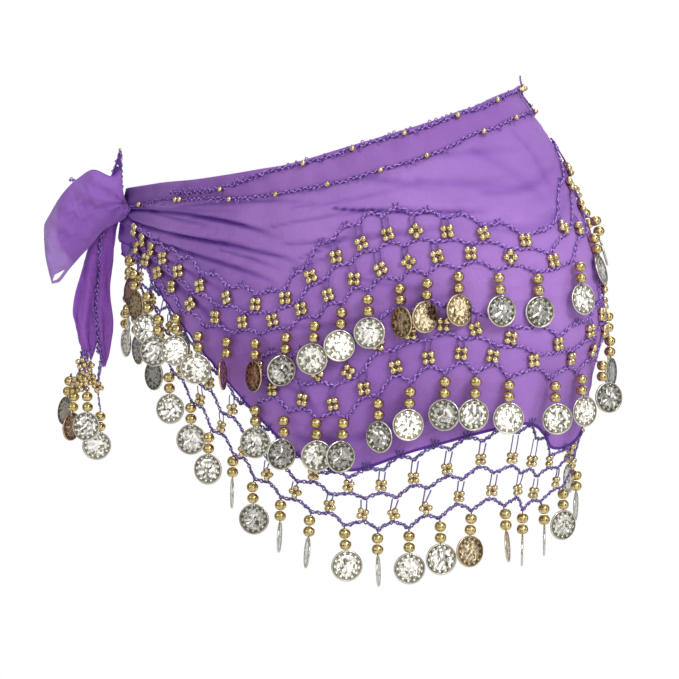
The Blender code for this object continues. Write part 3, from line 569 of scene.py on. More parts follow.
chiffon, chiffonDouble, chiffonSheer, chiffonTail, chiffonKnot = (
    makeChiffon(name, **kind) for name, kind in chiffonKinds.items())
yarn = makeYarn("crochetYarn", yarnFacts)
yarnHem = makeYarn("hemCrochetYarn", dict(yarnFacts, dark="26143E", middle="513890", light="8E72CA", bright="C6B0EC"))
gilt = makeGilt("giltBead", beadFacts)
giltSmall = makeGilt("smallGiltBead", dict(beadFacts, colour="F0E0B2", worn="BEA870", roughness=0.16))
coinMetal = makeCoinMetal("stampedCoin", coinFacts)
print("materials done")


drapeFacts = dict(fineStep=0.0014, fineUpTo=-0.0305, columns=220, rows=104, inner=0.0004, outer=0.0013, roll=0.0010)


def buildDrape(facts):
    heap = Heap()
    along = np.concatenate([  # finer where the cloth is gathered
        np.arange(wrap["knotEnd"], facts["fineUpTo"], facts["fineStep"]),
        np.linspace(facts["fineUpTo"], wrap["backEnd"], facts["columns"])])
    waist, hem = edgeDrop("waist", along), edgeDrop("hem", along)
    drop = between(waist, hem, np.linspace(0, 1, facts["rows"] + 1)[:, None])
    plan = np.stack(np.broadcast_arrays(along, drop), -1)
    creaseShade, depth = creaseIn(plan[..., 0], drop)
    inner, outer = (clothSpot(along, drop, depth + facts[key])[0] for key in ("inner", "outer"))
    inner, _ = intoKnot(inner, plan)
    outer, plan = intoKnot(outer, plan)
    # the columns gathered into the knot are painted in its shade, as are the cloth's ends
    creaseShade = np.pad(np.clip(creaseShade, 0, 1), ((0, 0), (4, 4)), constant_values=0.9)
    addWall(heap, inner, outer, plan, tint=creaseShade)
    path, ways = clothSpot(along, hem - 0.0003, facts["outer"] - 0.0003 + creaseIn(along, hem - 0.0003)[1])
    addTube(heap, path, ways, facts["roll"], 6, tint=1.0)  # the rolled hem
    return heap.build("drape", chiffon)


bandFacts = dict(
    columns=420, thick=0.0008, puckers=0.0006,
    # its profile, up the inner side, over the fold and down to its own hem: the share of the turned depth,
    # the drop beyond the waist edge, and how far out it lies
    down=(0, 0, 0, 0, 0, .12, .30, .50, .70, .86, 1.0),
    beyond=(.0035, .0008, -.0008, -.0012, -.0008, 0, 0, 0, 0, 0, 0),
    out=(-.0006, -.0006, 0, .0010, .0021, .0024, .0028, .0027, .0026, .0024, .0022),
)


def buildBand(facts):
    # the waist edge folded over to the outside
    heap = Heap()
    along = np.linspace(wrap["knotEnd"], wrap["backEnd"], facts["columns"])
    down, beyond, out = (np.array(facts[key])[:, None] for key in ("down", "beyond", "out"))
    drop = edgeDrop("waist", along) + edgeDrop("turnover", along) * down + beyond
    pucker = facts["puckers"] * (np.sin(along * 140 + 2 * np.sin(along * 37)) + 0.6 * np.sin(along * 310))
    swell = (pucker + 0.0012 * nearEnds(along, 0.05, 0.05) * np.cos(9 * down)) * np.sin(np.pi * down)
    plan = np.stack(np.broadcast_arrays(along, drop + out), -1)
    outer, plan = intoKnot(clothSpot(along, drop, out + swell)[0], plan)
    ways = gridNormals(outer)
    ways = ways * np.sign(np.sum(ways[6] * (outer[6] - outer.mean((0, 1))), -1).mean())
    dark = np.minimum(0.9 * nearEnds(along, 0.058, 0.025), 0.9)  # in the knot's shade
    addWall(heap, outer - ways * facts["thick"], outer, plan, tint=np.pad(dark, 4, constant_values=0.9))
    return heap.build("turnoverBand", chiffonDouble)


drape = buildDrape(drapeFacts)
band = buildBand(bandFacts)
print("drape and turnover done")

rng = np.random.default_rng(20)
# the last entry of each chain kind gives its three strands their painted light: 1 is painted lit, 0 is painted in
# shade
cordFacts = dict(
    net=dict(strand=0.00040, wide=0.00080, deep=0.00042, stitch=0.0046, step=0.00076, strandLit=(1.0, 0.45, 0.0)),
    hem=dict(strand=0.00047, wide=0.00082, deep=0.00044, stitch=0.0048, step=0.00080, strandLit=(0.60, 0.25, 0.05)),
    waist=dict(strand=0.00038, wide=0.00072, deep=0.00046, stitch=0.0050, step=0.00080, strandLit=(0.85, 0.0, 0.0)),
    edge=dict(strand=0.00036, wide=0.00062, deep=0.00036, stitch=0.0044, step=0.00076, strandLit=(1.0, 0.0, 0.0)),
    fine=dict(strand=0.00028, wide=0.00042, deep=0.00026, stitch=0.0040, step=0.00085, strandLit=(0.60, 0.15, 0.0)),
    thread=0.00045, lower=0.00045,
)


def addBraid(heap, path, ways, kind):
    # a crochet chain, drawn as three strands that cross each other once a stitch
    facts = cordFacts[kind]
    path, ways, at = evenly(path, np.broadcast_to(ways, path.shape), facts["step"])
    if len(path) < 4:
        return
    across = unit(np.cross(ways, unit(np.gradient(path, axis=0))))
    for strand in range(3):
        phase = 2 * np.pi * (at / facts["stitch"] + strand / 3) + 0.8 * np.sin(at * 390 + 2 * strand)
        wide = facts["wide"] * (1 + 0.25 * np.sin(at * 610 + 4 * strand))
        low = cordFacts["lower"] * (strand == 2)  # the darkest strand lies below, in the others' shade
        aside, high = wide * np.sin(phase) - low, facts["deep"] * np.sin(2 * phase)
        line = path + across * aside[:, None] + ways * high[:, None]
        addTube(heap, line, ways, facts["strand"], 4, tint=facts["strandLit"][strand])


def addPicot(heap, root, across, up, out, size):
    # a small loop of yarn that stands off a chain
    turn = np.linspace(-0.2, 1.2, 8)[:, None] * np.pi
    line = root + size * (
        across * np.cos(turn) * 0.45 + up * (np.sin(turn) + 0.2) * 0.75 + out * 0.25 * np.sin(turn))
    # the loop is painted part lit, part in shade
    addTube(heap, line, out, cordFacts["thread"] * 0.8, 4, tint=0.45)


def addStraight(heap, start, end, out, radius=None, sag=0.0, tint=0.25):
    # its tint is its painted share of light, mostly painted shade by default
    u = np.linspace(0, 1, 4)[:, None]
    line = between(start, end, u) + out * sag * 4 * u * (1 - u)
    addTube(heap, line, out, radius or cordFacts["thread"], 4, tint=tint)


def addSpikes(heap, root, across, up, out, reach, count):
    # the long stitches that sew a chain to the cloth, fanned from one hole
    for lean in np.linspace(-0.55, 0.55, count):
        tip = root + up * reach * rng.uniform(0.8, 1.1) + across * lean * reach
        start = root + across * lean * 0.0012
        # the spikes are painted almost wholly in shade
        addStraight(heap, start, tip, out, radius=cordFacts["thread"] * 0.9, sag=0.0006, tint=0.10)


smallBead, largeBead = roundBead(10, 6, 1.0, 0.06), roundBead(18, 10, 0.95, 0.14)
edgingFacts = dict(
    waistBeads=(-.142, -.070, -.032, .007, .049, .088),
    turnoverBeads=(-.245, -.190, -.185, -.134, -.095, -.056, -.018, .015, .061, .095),
    beadEvery=0.0365, bead=0.0019, picotEvery=0.0048, picot=0.0022, waistOut=0.0036, turnoverOut=0.0034,
    waistStart=-0.200, plainUpTo=-0.192,
    cornerAlong=(.116, .127, .134, .1375, .1385, .1370, .131, .120),
    cornerDrop=(-.0028, -.0042, -.0048, -.0020, .0035, .0090, .0125, .0132),
    tailAlong=(.1340, .1325, .1302, .1275), tailDrop=(-.0045, -.0070, -.0092, -.0112),
)


def edgingDrop(which, along):
    waist, deep = edgeDrop("waist", along), edgeDrop("turnover", along)
    if which == "turnover":
        return waist + deep
    return waist + 0.0011 + (deep - 0.0055) * (1 - ramp(along, -0.165, -0.095))


def addCorner(heap, beads, facts, out):
    # at the left hip the two edgings meet round the flap's end, and a loose end of the cord stands up
    rows = np.linspace(0, 1, 60)
    for name, kind, beadsAt in (("corner", "waist", (6, 40)), ("tail", "fine", (8,))):
        n = np.linspace(0, 1, len(facts[name + "Along"]))
        along, drop = (eased(n, facts[name + key], rows) for key in ("Along", "Drop"))
        path, ways = clothSpot(along, drop, out + 0.0004)
        addBraid(heap, path, ways, kind)
        for turn, k in enumerate(np.linspace(4, 56, 9).astype(int)):
            forward = unit(path[k + 1] - path[k - 1])
            side = unit(np.cross(ways[k], forward)) * (1 if turn % 2 else -1)
            if name == "corner":
                size = facts["picot"] * rng.uniform(0.6, 0.9)
                addPicot(heap, path[k] + side * 0.0005, forward, side, ways[k], size)
            else:
                end = path[k] + (side + forward * 0.7) * 0.0022 * rng.uniform(0.7, 1.2)
                addStraight(heap, path[k], end, ways[k], radius=0.0003)
        for k in beadsAt:
            addBeads(beads, smallBead, [path[k] + ways[k] * 0.0012], facts["bead"] * 0.62, ways[k])


def buildEdging(which, facts, beads):
    heap = Heap()
    start = facts["waistStart"] if which == "waist" else wrap["knotEnd"] + 0.004
    along = np.linspace(start, wrap["backEnd"] - 0.004, 900)
    out = facts[which + "Out"]
    drop = edgingDrop(which, along) + 0.0004 * np.sin(along * 520) + 0.0005 * np.sin(along * 97)
    path, ways = clothSpot(along, drop, out)
    plain = along < facts["plainUpTo"]
    if which == "waist":
        addBraid(heap, path, ways, "waist")
        addCorner(heap, beads, facts, out)
    else:
        addBraid(heap, path[plain], ways[plain], "fine")
        addBraid(heap, path[~plain], ways[~plain], "edge")
    place = along[0] + 0.006
    while place < along[-1] - 0.006:
        spot, way = clothSpot(place, edgingDrop(which, place), out)
        ahead, _ = clothSpot(place + 0.004, edgingDrop(which, place + 0.004), out)
        across = unit(ahead - spot)
        up = unit(np.cross(way, across))
        up = up if up[2] > 0 else -up
        size = facts["picot"] * rng.uniform(0.6, 1.3)
        sideUp = 1 if which == "waist" and rng.random() < 0.75 else -1
        if which == "waist" or rng.random() < 0.45:
            leaning = unit(across + up * rng.uniform(-0.5, 0.5))
            addPicot(heap, spot + up * sideUp * 0.0007, leaning, up * sideUp, way, size)
        place += facts["picotEvery"] * rng.uniform(0.6, 1.4)
    places = list(facts[which + "Beads"])
    while places[-1] + facts["beadEvery"] < along[-1]:
        places.append(places[-1] + facts["beadEvery"] * rng.uniform(0.9, 1.1))
    for place in places:
        spot, way = clothSpot(place, edgingDrop(which, place), out + 0.0021)
        addBeads(beads, smallBead, [spot], facts["bead"], way)
    return heap.build(which + "Edging", yarn)


beads = Heap()
waistEdging, turnoverEdging = (buildEdging(which, edgingFacts, beads) for which in ("waist", "turnover"))
edgingBeads = beads.build("edgingBeads", giltSmall)
print("edgings done")

coinShape = dict(
    radius=0.0100, thick=0.0008, dots=13, around=52, relief=0.0003,
    front=(0, .1, .2, .3, .4, .5, .58, .66, .73, .79, .86, .91, .95, 1.0), back=(0, .35, .65, .86, .91, .95, 1.0),
)


def coinRelief(r, turn, facts):
    # a rim, a ring of raised dots, and a plain worn ornament of curling strokes in the middle
    rim = np.exp(-(((r - 0.945) / 0.030) ** 2))
    dots = np.exp(-(((r - 0.790) / 0.070) ** 2)) * np.maximum(0, np.cos(turn * facts["dots"])) ** 1.2
    x, y = r * np.cos(turn), r * np.sin(turn)
    strokes = np.sin(8 * x + 2.4 * np.sin(4.5 * y + 1)) * np.cos(7 * y + 2.2 * np.sin(5.5 * x))
    return rim + 1.1 * dots + ramp(r, 0.68, 0.60) * (0.15 + 0.55 * np.tanh(3.0 * strokes))


def makeCoin(facts):
    # corners in the coin's own plane: x across, y up, z towards the eye; a small hole near the top
    around = facts["around"]
    n = np.arange(around)
    after, turn = (n + 1) % around, n * 2 * np.pi / around
    spots, quads, fans, rims, count = [], [], [], [], 0
    for side, radii in ((1, facts["front"]), (-1, facts["back"])):
        for r in radii[1:]:
            relief = (coinRelief(r, turn, facts) if r < 1 else -0.3) * (1 if side == 1 else 0.7)
            lift = side * (facts["thick"] / 2 + facts["relief"] * relief)
            x, y = np.cos(turn) * r * facts["radius"], np.sin(turn) * r * facts["radius"]
            spots.append(np.stack([x, y, lift * np.ones(around)], -1))
        spots.append(np.array([[0, 0, side * (facts["thick"] / 2 + facts["relief"])]]))
        rings = len(radii) - 1
        faces, middle = gridFaces(rings, around, closed=True), fan(rings * around, 0, around)
        row, column = faces[:, 0] // around, faces[:, 0] % around
        hole = (row >= rings - 4) & (row < rings - 2) & (np.abs(column - around // 4 + 0.5) < 1)
        quads.append((faces if side == 1 else turnedOver(faces))[~hole] + count)
        fans.append((turnedOver(middle) if side == 1 else middle) + count)
        rims.append(count + (rings - 1) * around)
        count += rings * around + 1
    front, back = rims
    quads.append(np.stack([front + n, front + after, back + after, back + n], -1))
    # the hole's wall joins the two faces round the missing quads; each corner is so many rings in, and so far round
    a, b = around // 4 - 1, around // 4 + 1
    outline = np.array([(3, a), (3, a + 1), (3, b), (2, b), (1, b), (1, a + 1), (1, a), (2, a)]) @ (-around, 1)
    ahead = np.roll(outline, -1)
    quads.append(np.stack([front + outline, front + ahead, back + ahead, back + outline], -1))
    return np.concatenate(spots), np.concatenate(quads), np.concatenate(fans)


coin = makeCoin(coinShape)


def addCoin(heap, top, down, out, yaw, tilt, tint):
    # hangs from top along down; yaw turns it about that line, tilt leans its foot out. The coin's own left
    # and right are swapped here, so its faces are made the other way round.
    down, out = unit(down), unit(out - np.dot(out, down) * down / np.dot(down, down))
    across, out = turnedBy(np.cross(out, -down), out, yaw)
    down, out = turnedBy(down, out, tilt)
    spots, *faces = coin
    turned = spots @ np.stack([across, -down, out])
    heap.add(turned + top + down * coinShape["radius"] * 0.96, *faces, plan=spots[:, :2], tint=tint)


netTables = dict(
    # cells counts a net's cells from its start to the places in cellsAlong: the crocheting is uneven
    upper=dict(
        along=(-.252, -.206, -.172, -.153, -.107, -.063, -.030, .007, .044, .078, .110, .138, .165, .205, .270),
        top=(.022, .042, .058, .070, .088, .063, .054, .062, .079, .092, .068, .041, .037, .044, .044),
        bottom=(.040, .069, .094, .103, .112, .103, .0965, .098, .107, .117, .105, .090, .080, .080, .078),
        cells=(0, 4, 6, 8, 10, 12, 14, 16, 18, 19, 21, 24),
        cellsAlong=(-.252, -.188, -.144, -.099, -.060, -.024, .013, .061, .128, .147, .198, .270)),
    middle=dict(
        along=(-.130, -.107, -.063, -.035, 0, .040, .080, .118, .150, .200, .228),
        top=(.126, .129, .134, .118, .119, .142, .158, .152, .120, .101, .104),
        bottom=(.149, .160, .175, .161, .160, .172, .183, .185, .163, .139, .138),
        cells=(0, 2, 4, 6, 8, 10, 12, 15), cellsAlong=(-.124, -.081, -.041, .000, .041, .112, .145, .228)),
    hem=dict(
        along=(-.270, -.215, -.160, -.125, -.080, -.050, -.011, .036, .080, .110, .135, .200, .300, .600),
        deep=(.024, .034, .040, .036, .030, .034, .041, .040, .0405, .0335, .032, .040, .040, .028),
        cells=(0, 3, 6, 8, 10, 12, 14, 16, 18, 19, 24, 39),
        cellsAlong=(-.270, -.204, -.148, -.106, -.056, -.011, .034, .080, .129, .147, .268, .612)),
)
netFacts = dict(
    # how far each of the three chains swings up and down, as a share of the net's depth
    wave=dict(upper=(.052, .035, .070), middle=(.070, .035, .080), hem=(.055, .055, .070)),
    evenOver=(-.036, -.024, -.012, 0, .012, .024, .036), loose=0.0011, stagger=0.0022, sewnOut=0.0023,
    bead=0.0038, firstBead=0.0051, secondBead=0.0122, coinTop=0.0162, yawDegrees=20, swingDegrees=4,
    lying=dict(  # a net on the cloth
        cord="net", taut=.10, out=.0027, flowerOut=.0034, dropOut=.0058, coinOut=-.0012, turnedOut=.0070,
        bead=.00236, gap=.00212, spikes=2, spikeReach=.0030, spikeShare=.8),
    hanging=dict(  # the net below the hem
        cord="hem", taut=.40, out=.0008, flowerOut=.0010, dropOut=.0008, coinOut=0, turnedOut=0,
        bead=.00200, gap=.00178, spikes=3, spikeReach=.0046, spikeShare=1),
)


class Net:
    def __init__(self, name):
        self.name, self.table = name, netTables[name]
        self.facts = netFacts["hanging" if name == "hem" else "lying"]
        self.last = 2 * self.table["cells"][-1]
        self.places = eased(self.table["cells"], self.table["cellsAlong"], np.arange(self.last + 1) / 2)
        spread = np.random.default_rng(len(name) * 7 + 3)
        count = self.last + 1
        deep = self.level(2, self.places) - self.level(0, self.places)
        self.along = np.stack([self.places + spread.uniform(-1, 1, count) * netFacts["loose"] for k in range(3)])
        self.drop = np.stack([
            self.level(k, self.places) + self.wave(k) * deep * np.where((np.arange(count) + k) % 2 == 0, 1, -1)
            + spread.uniform(-1, 1, count) * netFacts["loose"] * (0.3 if k == 0 and name == "hem" else 0.8)
            for k in range(3)
        ])

    def wave(self, k):
        return netFacts["wave"][self.name][k]

    def level(self, k, along):
        if self.name == "hem":
            deep = eased(self.table["along"], self.table["deep"], along)
            if k:
                hem = sum(edgeDrop("hem", along + far) for far in netFacts["evenOver"]) / len(netFacts["evenOver"])
                return hem + 0.0012 + self.wave(k) * deep + deep * k / 2
            slope = (edgeDrop("hem", along + 0.006) - edgeDrop("hem", along - 0.006)) / 0.012
            return edgeDrop("hem", along) + 0.0009 * np.hypot(1, slope) + self.wave(0) * deep
        top, bottom = (eased(self.table["along"], self.table[key], along) for key in ("top", "bottom"))
        return between(top, bottom, k / 2)

    def chain(self, k):
        # pointed where a flower or drop pulls it down, round where it passes over one
        at = np.linspace(0, self.last, self.last * 10 + 1)
        n = np.minimum(at.astype(int), self.last - 1)
        u = at - n
        share = np.where((n + k) % 2 == 0, np.sin(np.pi * u / 2), 1 - np.sin(np.pi * (1 - u) / 2))
        if k:
            share = between(share, u, self.facts["taut"])
        along = between(self.along[k][n], self.along[k][n + 1], u)
        return clothSpot(along, between(self.drop[k][n], self.drop[k][n + 1], share), self.facts["out"])


def hangLine(along, drop, out):
    # where a drop starts, the way it hangs, and the way out from the cloth there
    start, way = clothSpot(along, drop, out)
    low, _ = clothSpot(along, drop + 0.026, out)
    lean = max(0.0, float(np.dot(low - start, way))) / 0.026
    return start, unit(np.array([0, 0, -1.0]) + way * lean), way


turned = dict(  # the front drops: degrees each coin is turned from the eye, to the right, and how coppery it is
    upper={
        0: (-60, .9), 1: (-56, .55), 2: (-30, 0), 3: (-14, 0), 4: (-24, 0), 5: (4, 0), 6: (80, .5), 7: (-58, .6),
        8: (26, 0), 9: (-10, 0), 10: (8, 0), 11: (-10, 0), 12: (-52, .5), 13: (36, .42), 14: (35, .45), 15: (24, 0),
        16: (20, 0), 17: (38, 0), 18: (68, 0), 19: (84, 0)},
    middle={
        0: (-14, 0), 1: (26, 0), 2: (4, 0), 3: (24, 0), 4: (-36, 0), 5: (10, 0), 6: (-15, 0), 7: (14, 0), 8: (8, 0),
        9: (10, 0), 10: (34, 0), 11: (24, 0)},
    hem={
        3: (-20, 0), 4: (-12, 0), 5: (-24, 0), 6: (-84, 0), 7: (-16, 0), 8: (85, 0), 9: (-82, 0), 10: (10, 0),
        11: (84, 0), 12: (6, 0), 13: (14, 0), 14: (30, .45), 15: (80, .3), 16: (85, 0), 17: (86, 0), 18: (30, 0)},
)
lowered = dict(upper={2: .006, 3: .012}, middle={2: -.004, 3: -.004}, hem={})  # drops on a longer or shorter thread


def spotAndWays(along, drop, out):
    # a point over the cloth, and the ways across, up and out there
    spot, way = clothSpot(along, drop, out)
    up = unit(clothSpot(along, drop - 0.004, out)[0] - spot)
    return spot, unit(np.cross(up, way)), up, way


def addFlower(beads, cords, facts, middle, x, y, out, threads, lifts=(0, 0, 0, 0)):
    # four small beads in a square, and the threads that join them
    centres = [
        middle + x * facts["gap"] * a + y * facts["gap"] * b + out * lift
        for (a, b), lift in zip(((-1, -1), (-1, 1), (1, -1), (1, 1)), lifts)]
    addBeads(beads, smallBead, centres, facts["bead"], x)
    for a, b in threads:
        addStraight(cords, centres[a], centres[b], out)
    return centres


def addDrop(cords, beads, coins, root, start, down, out, yaw, tilt, tint, lift=0.0, thread=None, coinDown=None):
    # two big beads and a coin on their thread; yaw and tilt are in radians
    first, second = start + down * netFacts["firstBead"], start + down * netFacts["secondBead"]
    top = start + down * netFacts["coinTop"] + out * lift
    addStraight(cords, root, first, out, radius=thread)
    addStraight(cords, second, top + down * 0.0016, out, radius=0.0004)
    addBeads(beads, largeBead, [first, second], netFacts["bead"], down)
    addCoin(coins, top, down if coinDown is None else coinDown, out, yaw, tilt, tint)


def buildNet(name):
    net = Net(name)
    facts = net.facts
    cords, flowers, drops, coins = Heap(), Heap(), Heap(), Heap()
    draw = np.random.default_rng({"upper": 11, "middle": 12, "hem": 13}[name])
    for k in range(3):
        addBraid(cords, *net.chain(k), facts["cord"])
    for k in range(2):
        for n in range(k, net.last + 1, 2):
            middle = net.drop[k + 1][n] - 0.0010 - 2 * facts["gap"]
            spot, across, up, way = spotAndWays(net.places[n], middle, facts["flowerOut"])
            x, y = turnedBy(across, up, math.radians(draw.uniform(-16, 16) + (45 if draw.random() < 0.12 else 0)))
            x = unit(x + way * draw.uniform(-0.35, 0.35))
            centres = addFlower(flowers, cords, facts, spot, x, y, way, ((0, 3), (1, 2), (0, 1), (2, 3)))
            root, _ = clothSpot(net.places[n], net.drop[k][n] + 0.0009, facts["out"])
            for side, bead in ((-1, centres[1]), (1, centres[3])):
                addStraight(cords, root + across * side * 0.0019, bead + up * facts["bead"] * 0.8, way, sag=0.0002)
    for n in range(1, net.last, 2):  # chain 0 is sewn to the cloth where it crests
        root, across, up, way = spotAndWays(net.along[0][n], net.drop[0][n], netFacts["sewnOut"])
        if facts["spikeShare"] == 1 or draw.random() < facts["spikeShare"]:
            addSpikes(cords, root, across, up, way, facts["spikeReach"], facts["spikes"])
    for n in range(0, net.last + 1, 2):
        along, drop, drip = net.along[2][n], net.drop[2][n], n // 2
        start, down, way = hangLine(along, drop, facts["dropOut"] + netFacts["stagger"] * (drip % 2))
        start = start + down * lowered[name].get(drip, 0)
        eye = math.atan2(float(np.dot(toEye, -np.cross(way, -down))), float(np.dot(toEye, way)))
        yaw, tint = draw.uniform(-1, 1) * netFacts["yawDegrees"], draw.uniform(0.15, 0.4) * (draw.random() < 0.08)
        if drip in turned[name]:
            yaw, tint = turned[name][drip]
            yaw += math.degrees(eye)
        swing = math.radians(draw.uniform(-1, 1) * netFacts["swingDegrees"])
        down, yaw = unit(down + np.cross(way, down) * swing), math.radians(yaw)
        root, _ = clothSpot(along, drop, facts["out"])
        lift = abs(math.sin(yaw)) * facts["turnedOut"] + facts["coinOut"]
        tilt = math.radians(draw.uniform(-3, 5))
        addDrop(cords, drops, coins, root, start, down, way, yaw, tilt, tint, lift=lift, thread=0.0005)
    made = [
        cords.build(name + "Net", yarnHem if name == "hem" else yarn), flowers.build(name + "NetFlowers", giltSmall),
        drops.build(name + "NetDropBeads", gilt), coins.build(name + "NetCoins", coinMetal),
    ]
    print(name, "net done:", net.last // 2 + 1, "drops")
    return made


nets = {name: buildNet(name) for name in ("upper", "middle", "hem")}

toLeft, toFront, toUp = np.array([-tiltX, -tiltY, 0]), toEye, np.array([0, 0, 1.0])


def fromKnot(left, up, front):
    left, up, front = np.broadcast_arrays(left, up, front)
    return knotMiddle + left[..., None] * toLeft + up[..., None] * toUp + front[..., None] * toFront


def addThinCloth(heap, grid, plan, thick, side=1, skip=None, tint=0.0):
    # a wall behind a grid that faces the front, or the back where side is -1
    ways = gridNormals(grid)
    ways = ways * (1 if np.dot(ways.mean((0, 1)), toFront) * side > 0 else -1)
    addWall(heap, grid - ways * thick, grid, plan, skip=skip, tint=tint)


knotFacts = dict(left=0.0080, front=0.0085, up=0.0095, turns=5, ridge=0.13, rows=34, around=56)


def buildKnot(facts):
    heap = Heap()
    rows, around = facts["rows"], facts["around"]
    ring = np.arange(around)[None]
    tall, turn = np.linspace(0.02, np.pi - 0.02, rows)[:, None], ring * 2 * np.pi / around
    x, y, z = np.sin(tall) * np.cos(turn), np.sin(tall) * np.sin(turn), np.cos(tall) + 0 * turn
    ridge = 1 + facts["ridge"] * np.cos(facts["turns"] * turn + 3 * z) + 0.04 * np.cos(13 * turn - 4 * z)
    heap.add(
        fromKnot(facts["left"] * x * ridge, facts["up"] * z, facts["front"] * y * ridge),
        turnedOver(gridFaces(rows, around, closed=True)), ring, (ring + (rows - 1) * around)[:, ::-1],
        plan=np.stack([turn * 0.012 + 0 * z, z * 0.015], -1),
    )
    return heap.build("knotCloth", chiffonKnot)


loopFacts = dict(
    share=(0, .05, .11, .18, .27, .38, .50, .62, .74, .86, 1.0),
    lowLeft=(-.0078, -.0060, -.0040, .0000, .0062, .0130, .0200, .0280, .0360, .0435, .0481),
    lowUp=(-.0010, -.0040, -.0060, -.0086, -.0116, -.0160, -.0243, -.0325, -.0415, -.0505, -.0516),
    highLeft=(-.0078, -.0036, -.0018, -.0001, .0060, .0182, .0290, .0398, .0488, .0533, .0532),
    highUp=(.0005, .0064, .0145, .0262, .0222, .0268, .0211, .0109, -.0030, -.0123, -.0212),
    root=(.0125, .0118, .0105, .0090, .0070, .0045, .0025, .0012, .0004, 0, 0),
    puff=0.0160, belly=0.0012, slitFrom=0.76, slitTo=0.985, slitWide=0.10, rim=0.045, thick=0.0006,
    rimCover=0.20, fringeLeft=0.0432, fringeBelow=-0.021, fringeLean=0.63,
    ridges=(  # pressed folds of the front leaf: from one place to another, how high and how wide
        dict(left=(.0375, .0255), up=(.0045, -.0065), high=.0016, wide=.0011),
        dict(left=(.0150, .0005), up=(.0190, .0250), high=.0014, wide=.0012),
        dict(left=(.0230, .0120), up=(-.0250, -.0130), high=-.0012, wide=.0012),
        dict(left=(.0300, .0240), up=(.0180, .0060), high=.0007, wide=.0016),
        dict(left=(.0180, .0120), up=(.0100, -.0060), high=.0008, wide=.0020),
        dict(left=(.0400, .0330), up=(-.0060, -.0230), high=.0006, wide=.0016),
    ),
)


def ridgeHigh(left, up, ridges):
    high = np.zeros(left.shape)
    for row in ridges:
        start, end = (np.array([row["left"][n], row["up"][n]]) for n in (0, 1))
        way, place = end - start, np.stack([left, up], -1) - start
        t = np.clip(place @ way / (way @ way), 0, 1)
        rest = place - t[..., None] * way
        side = (rest[..., 0] * way[1] - rest[..., 1] * way[0]) / np.hypot(*way)
        far = np.hypot(rest[..., 0], rest[..., 1])
        beside = ((side - 1.8 * row["wide"]) / row["wide"]) ** 2 + (far > 5 * row["wide"]) * 9.0
        fade = ramp(t, -0.02, 0.25) * (1 - 0.7 * t)
        high += row["high"] * fade * (np.exp(-((far / row["wide"]) ** 2)) - 0.5 * np.exp(-beside))
    return high


def loopLeaf(facts, columns, rows, side):
    # one leaf of the loop, from the knot's right to the outer fold; side 1 is the front leaf
    share = np.linspace(0, 1, columns)
    lowLeft, lowUp, highLeft, highUp, root = (
        eased(facts["share"], facts[key], share) for key in ("lowLeft", "lowUp", "highLeft", "highUp", "root"))
    slit = np.sin(np.pi * np.clip((share - facts["slitFrom"]) / (facts["slitTo"] - facts["slitFrom"]), 0, 1))
    strip = np.linspace(0, facts["rim"], 3)[:, None] * np.ones(columns)
    start = facts["rim"] + 0.006 + facts["slitWide"] * slit
    v = np.concatenate([strip, between(start, 1, np.linspace(0, 1, rows - 3)[:, None])])
    left = between(lowLeft, highLeft, v) + facts["belly"] * 4 * v * (1 - v) * np.sin(np.pi * share / 2) ** 3
    up = between(lowUp, highUp, v)
    arch = np.sin(np.pi * np.clip(v, 0, 1))
    body = np.sqrt(np.maximum(0, 1 - share ** 3.2)) * (0.30 + 0.70 * ramp(share, 0, 0.40))
    crumple = (
        0.0008 * np.sin(left * 420 + up * 260 + 2 * np.sin(up * 130)) + 0.0007 * np.sin(left * 210 - up * 430 + 1)
        + 0.00055 * np.sin(left * 830 - up * 520 + 3 * np.sin(left * 240))
        + 0.0005 * np.sin(up * 900 + left * 310 + 2 * np.sin(up * 330))
        + 0.0014 * np.sin(np.arctan2(up - 0.004, left + 0.004) * 9) * ramp(left, 0.028, 0.004)
        + (ridgeHigh(left, up, facts["ridges"]) if side > 0 else 0)
    ) * arch ** 0.8 * (0.35 + 0.65 * ramp(share, 0, 0.4)) * np.sqrt(np.maximum(0, 1 - share ** 6))
    behind = 0 if side > 0 else 0.004 * (1 - share)
    front = side * (facts["puff"] * arch ** 0.55 * body + crumple) + root + behind
    opening = (share[:-1] > facts["slitFrom"]) & (share[1:] < facts["slitTo"])
    return fromKnot(left, up, front), opening, v, left, up


def buildLoop(facts):
    heap = Heap()
    columns, rows = 64, 44
    for side in (1, -1):
        grid, opening, v, left, up = loopLeaf(facts, columns, rows, side)
        skip = np.zeros((rows - 1, columns - 1), bool)
        skip[2] = opening
        skip[:, :6] |= side < 0
        edge = facts["fringeLeft"] + np.minimum(0, up - facts["fringeBelow"]) * facts["fringeLean"]
        fringe = np.maximum(ramp(left - edge, -0.0010, 0.0015), facts["rimCover"] * (v < facts["rim"] + 0.001))
        addThinCloth(heap, grid, np.stack([left, up], -1), facts["thick"], side, skip, fringe)
    return heap.build("bowLoop", chiffonSheer)


tailFacts = dict(
    wide=dict(
        down=(.010, .020, .034, .057, .070, .080, .093, .101),
        left=(.0090, .0133, .0181, .0226, .0246, .0253, .0254, .0239),
        width=(.0120, .0145, .0182, .0201, .0202, .0176, .0135, .0060),
        pleat=(.0012, .0016, .0020, .0022, .0022, .0020, .0018, .0012), pleats=1.7, behind=-.0045),
    narrow=dict(
        down=(.008, .030, .060, .080, .090, .098, .106), left=(.0055, .0105, .0119, .0122, .0125, .0128, .0130),
        width=(.0090, .0090, .0093, .0100, .0094, .0080, .0030),
        pleat=(.0010, .0014, .0016, .0016, .0014, .0012, .0008), pleats=1.1, behind=-.0015),
    thick=0.0006,
)


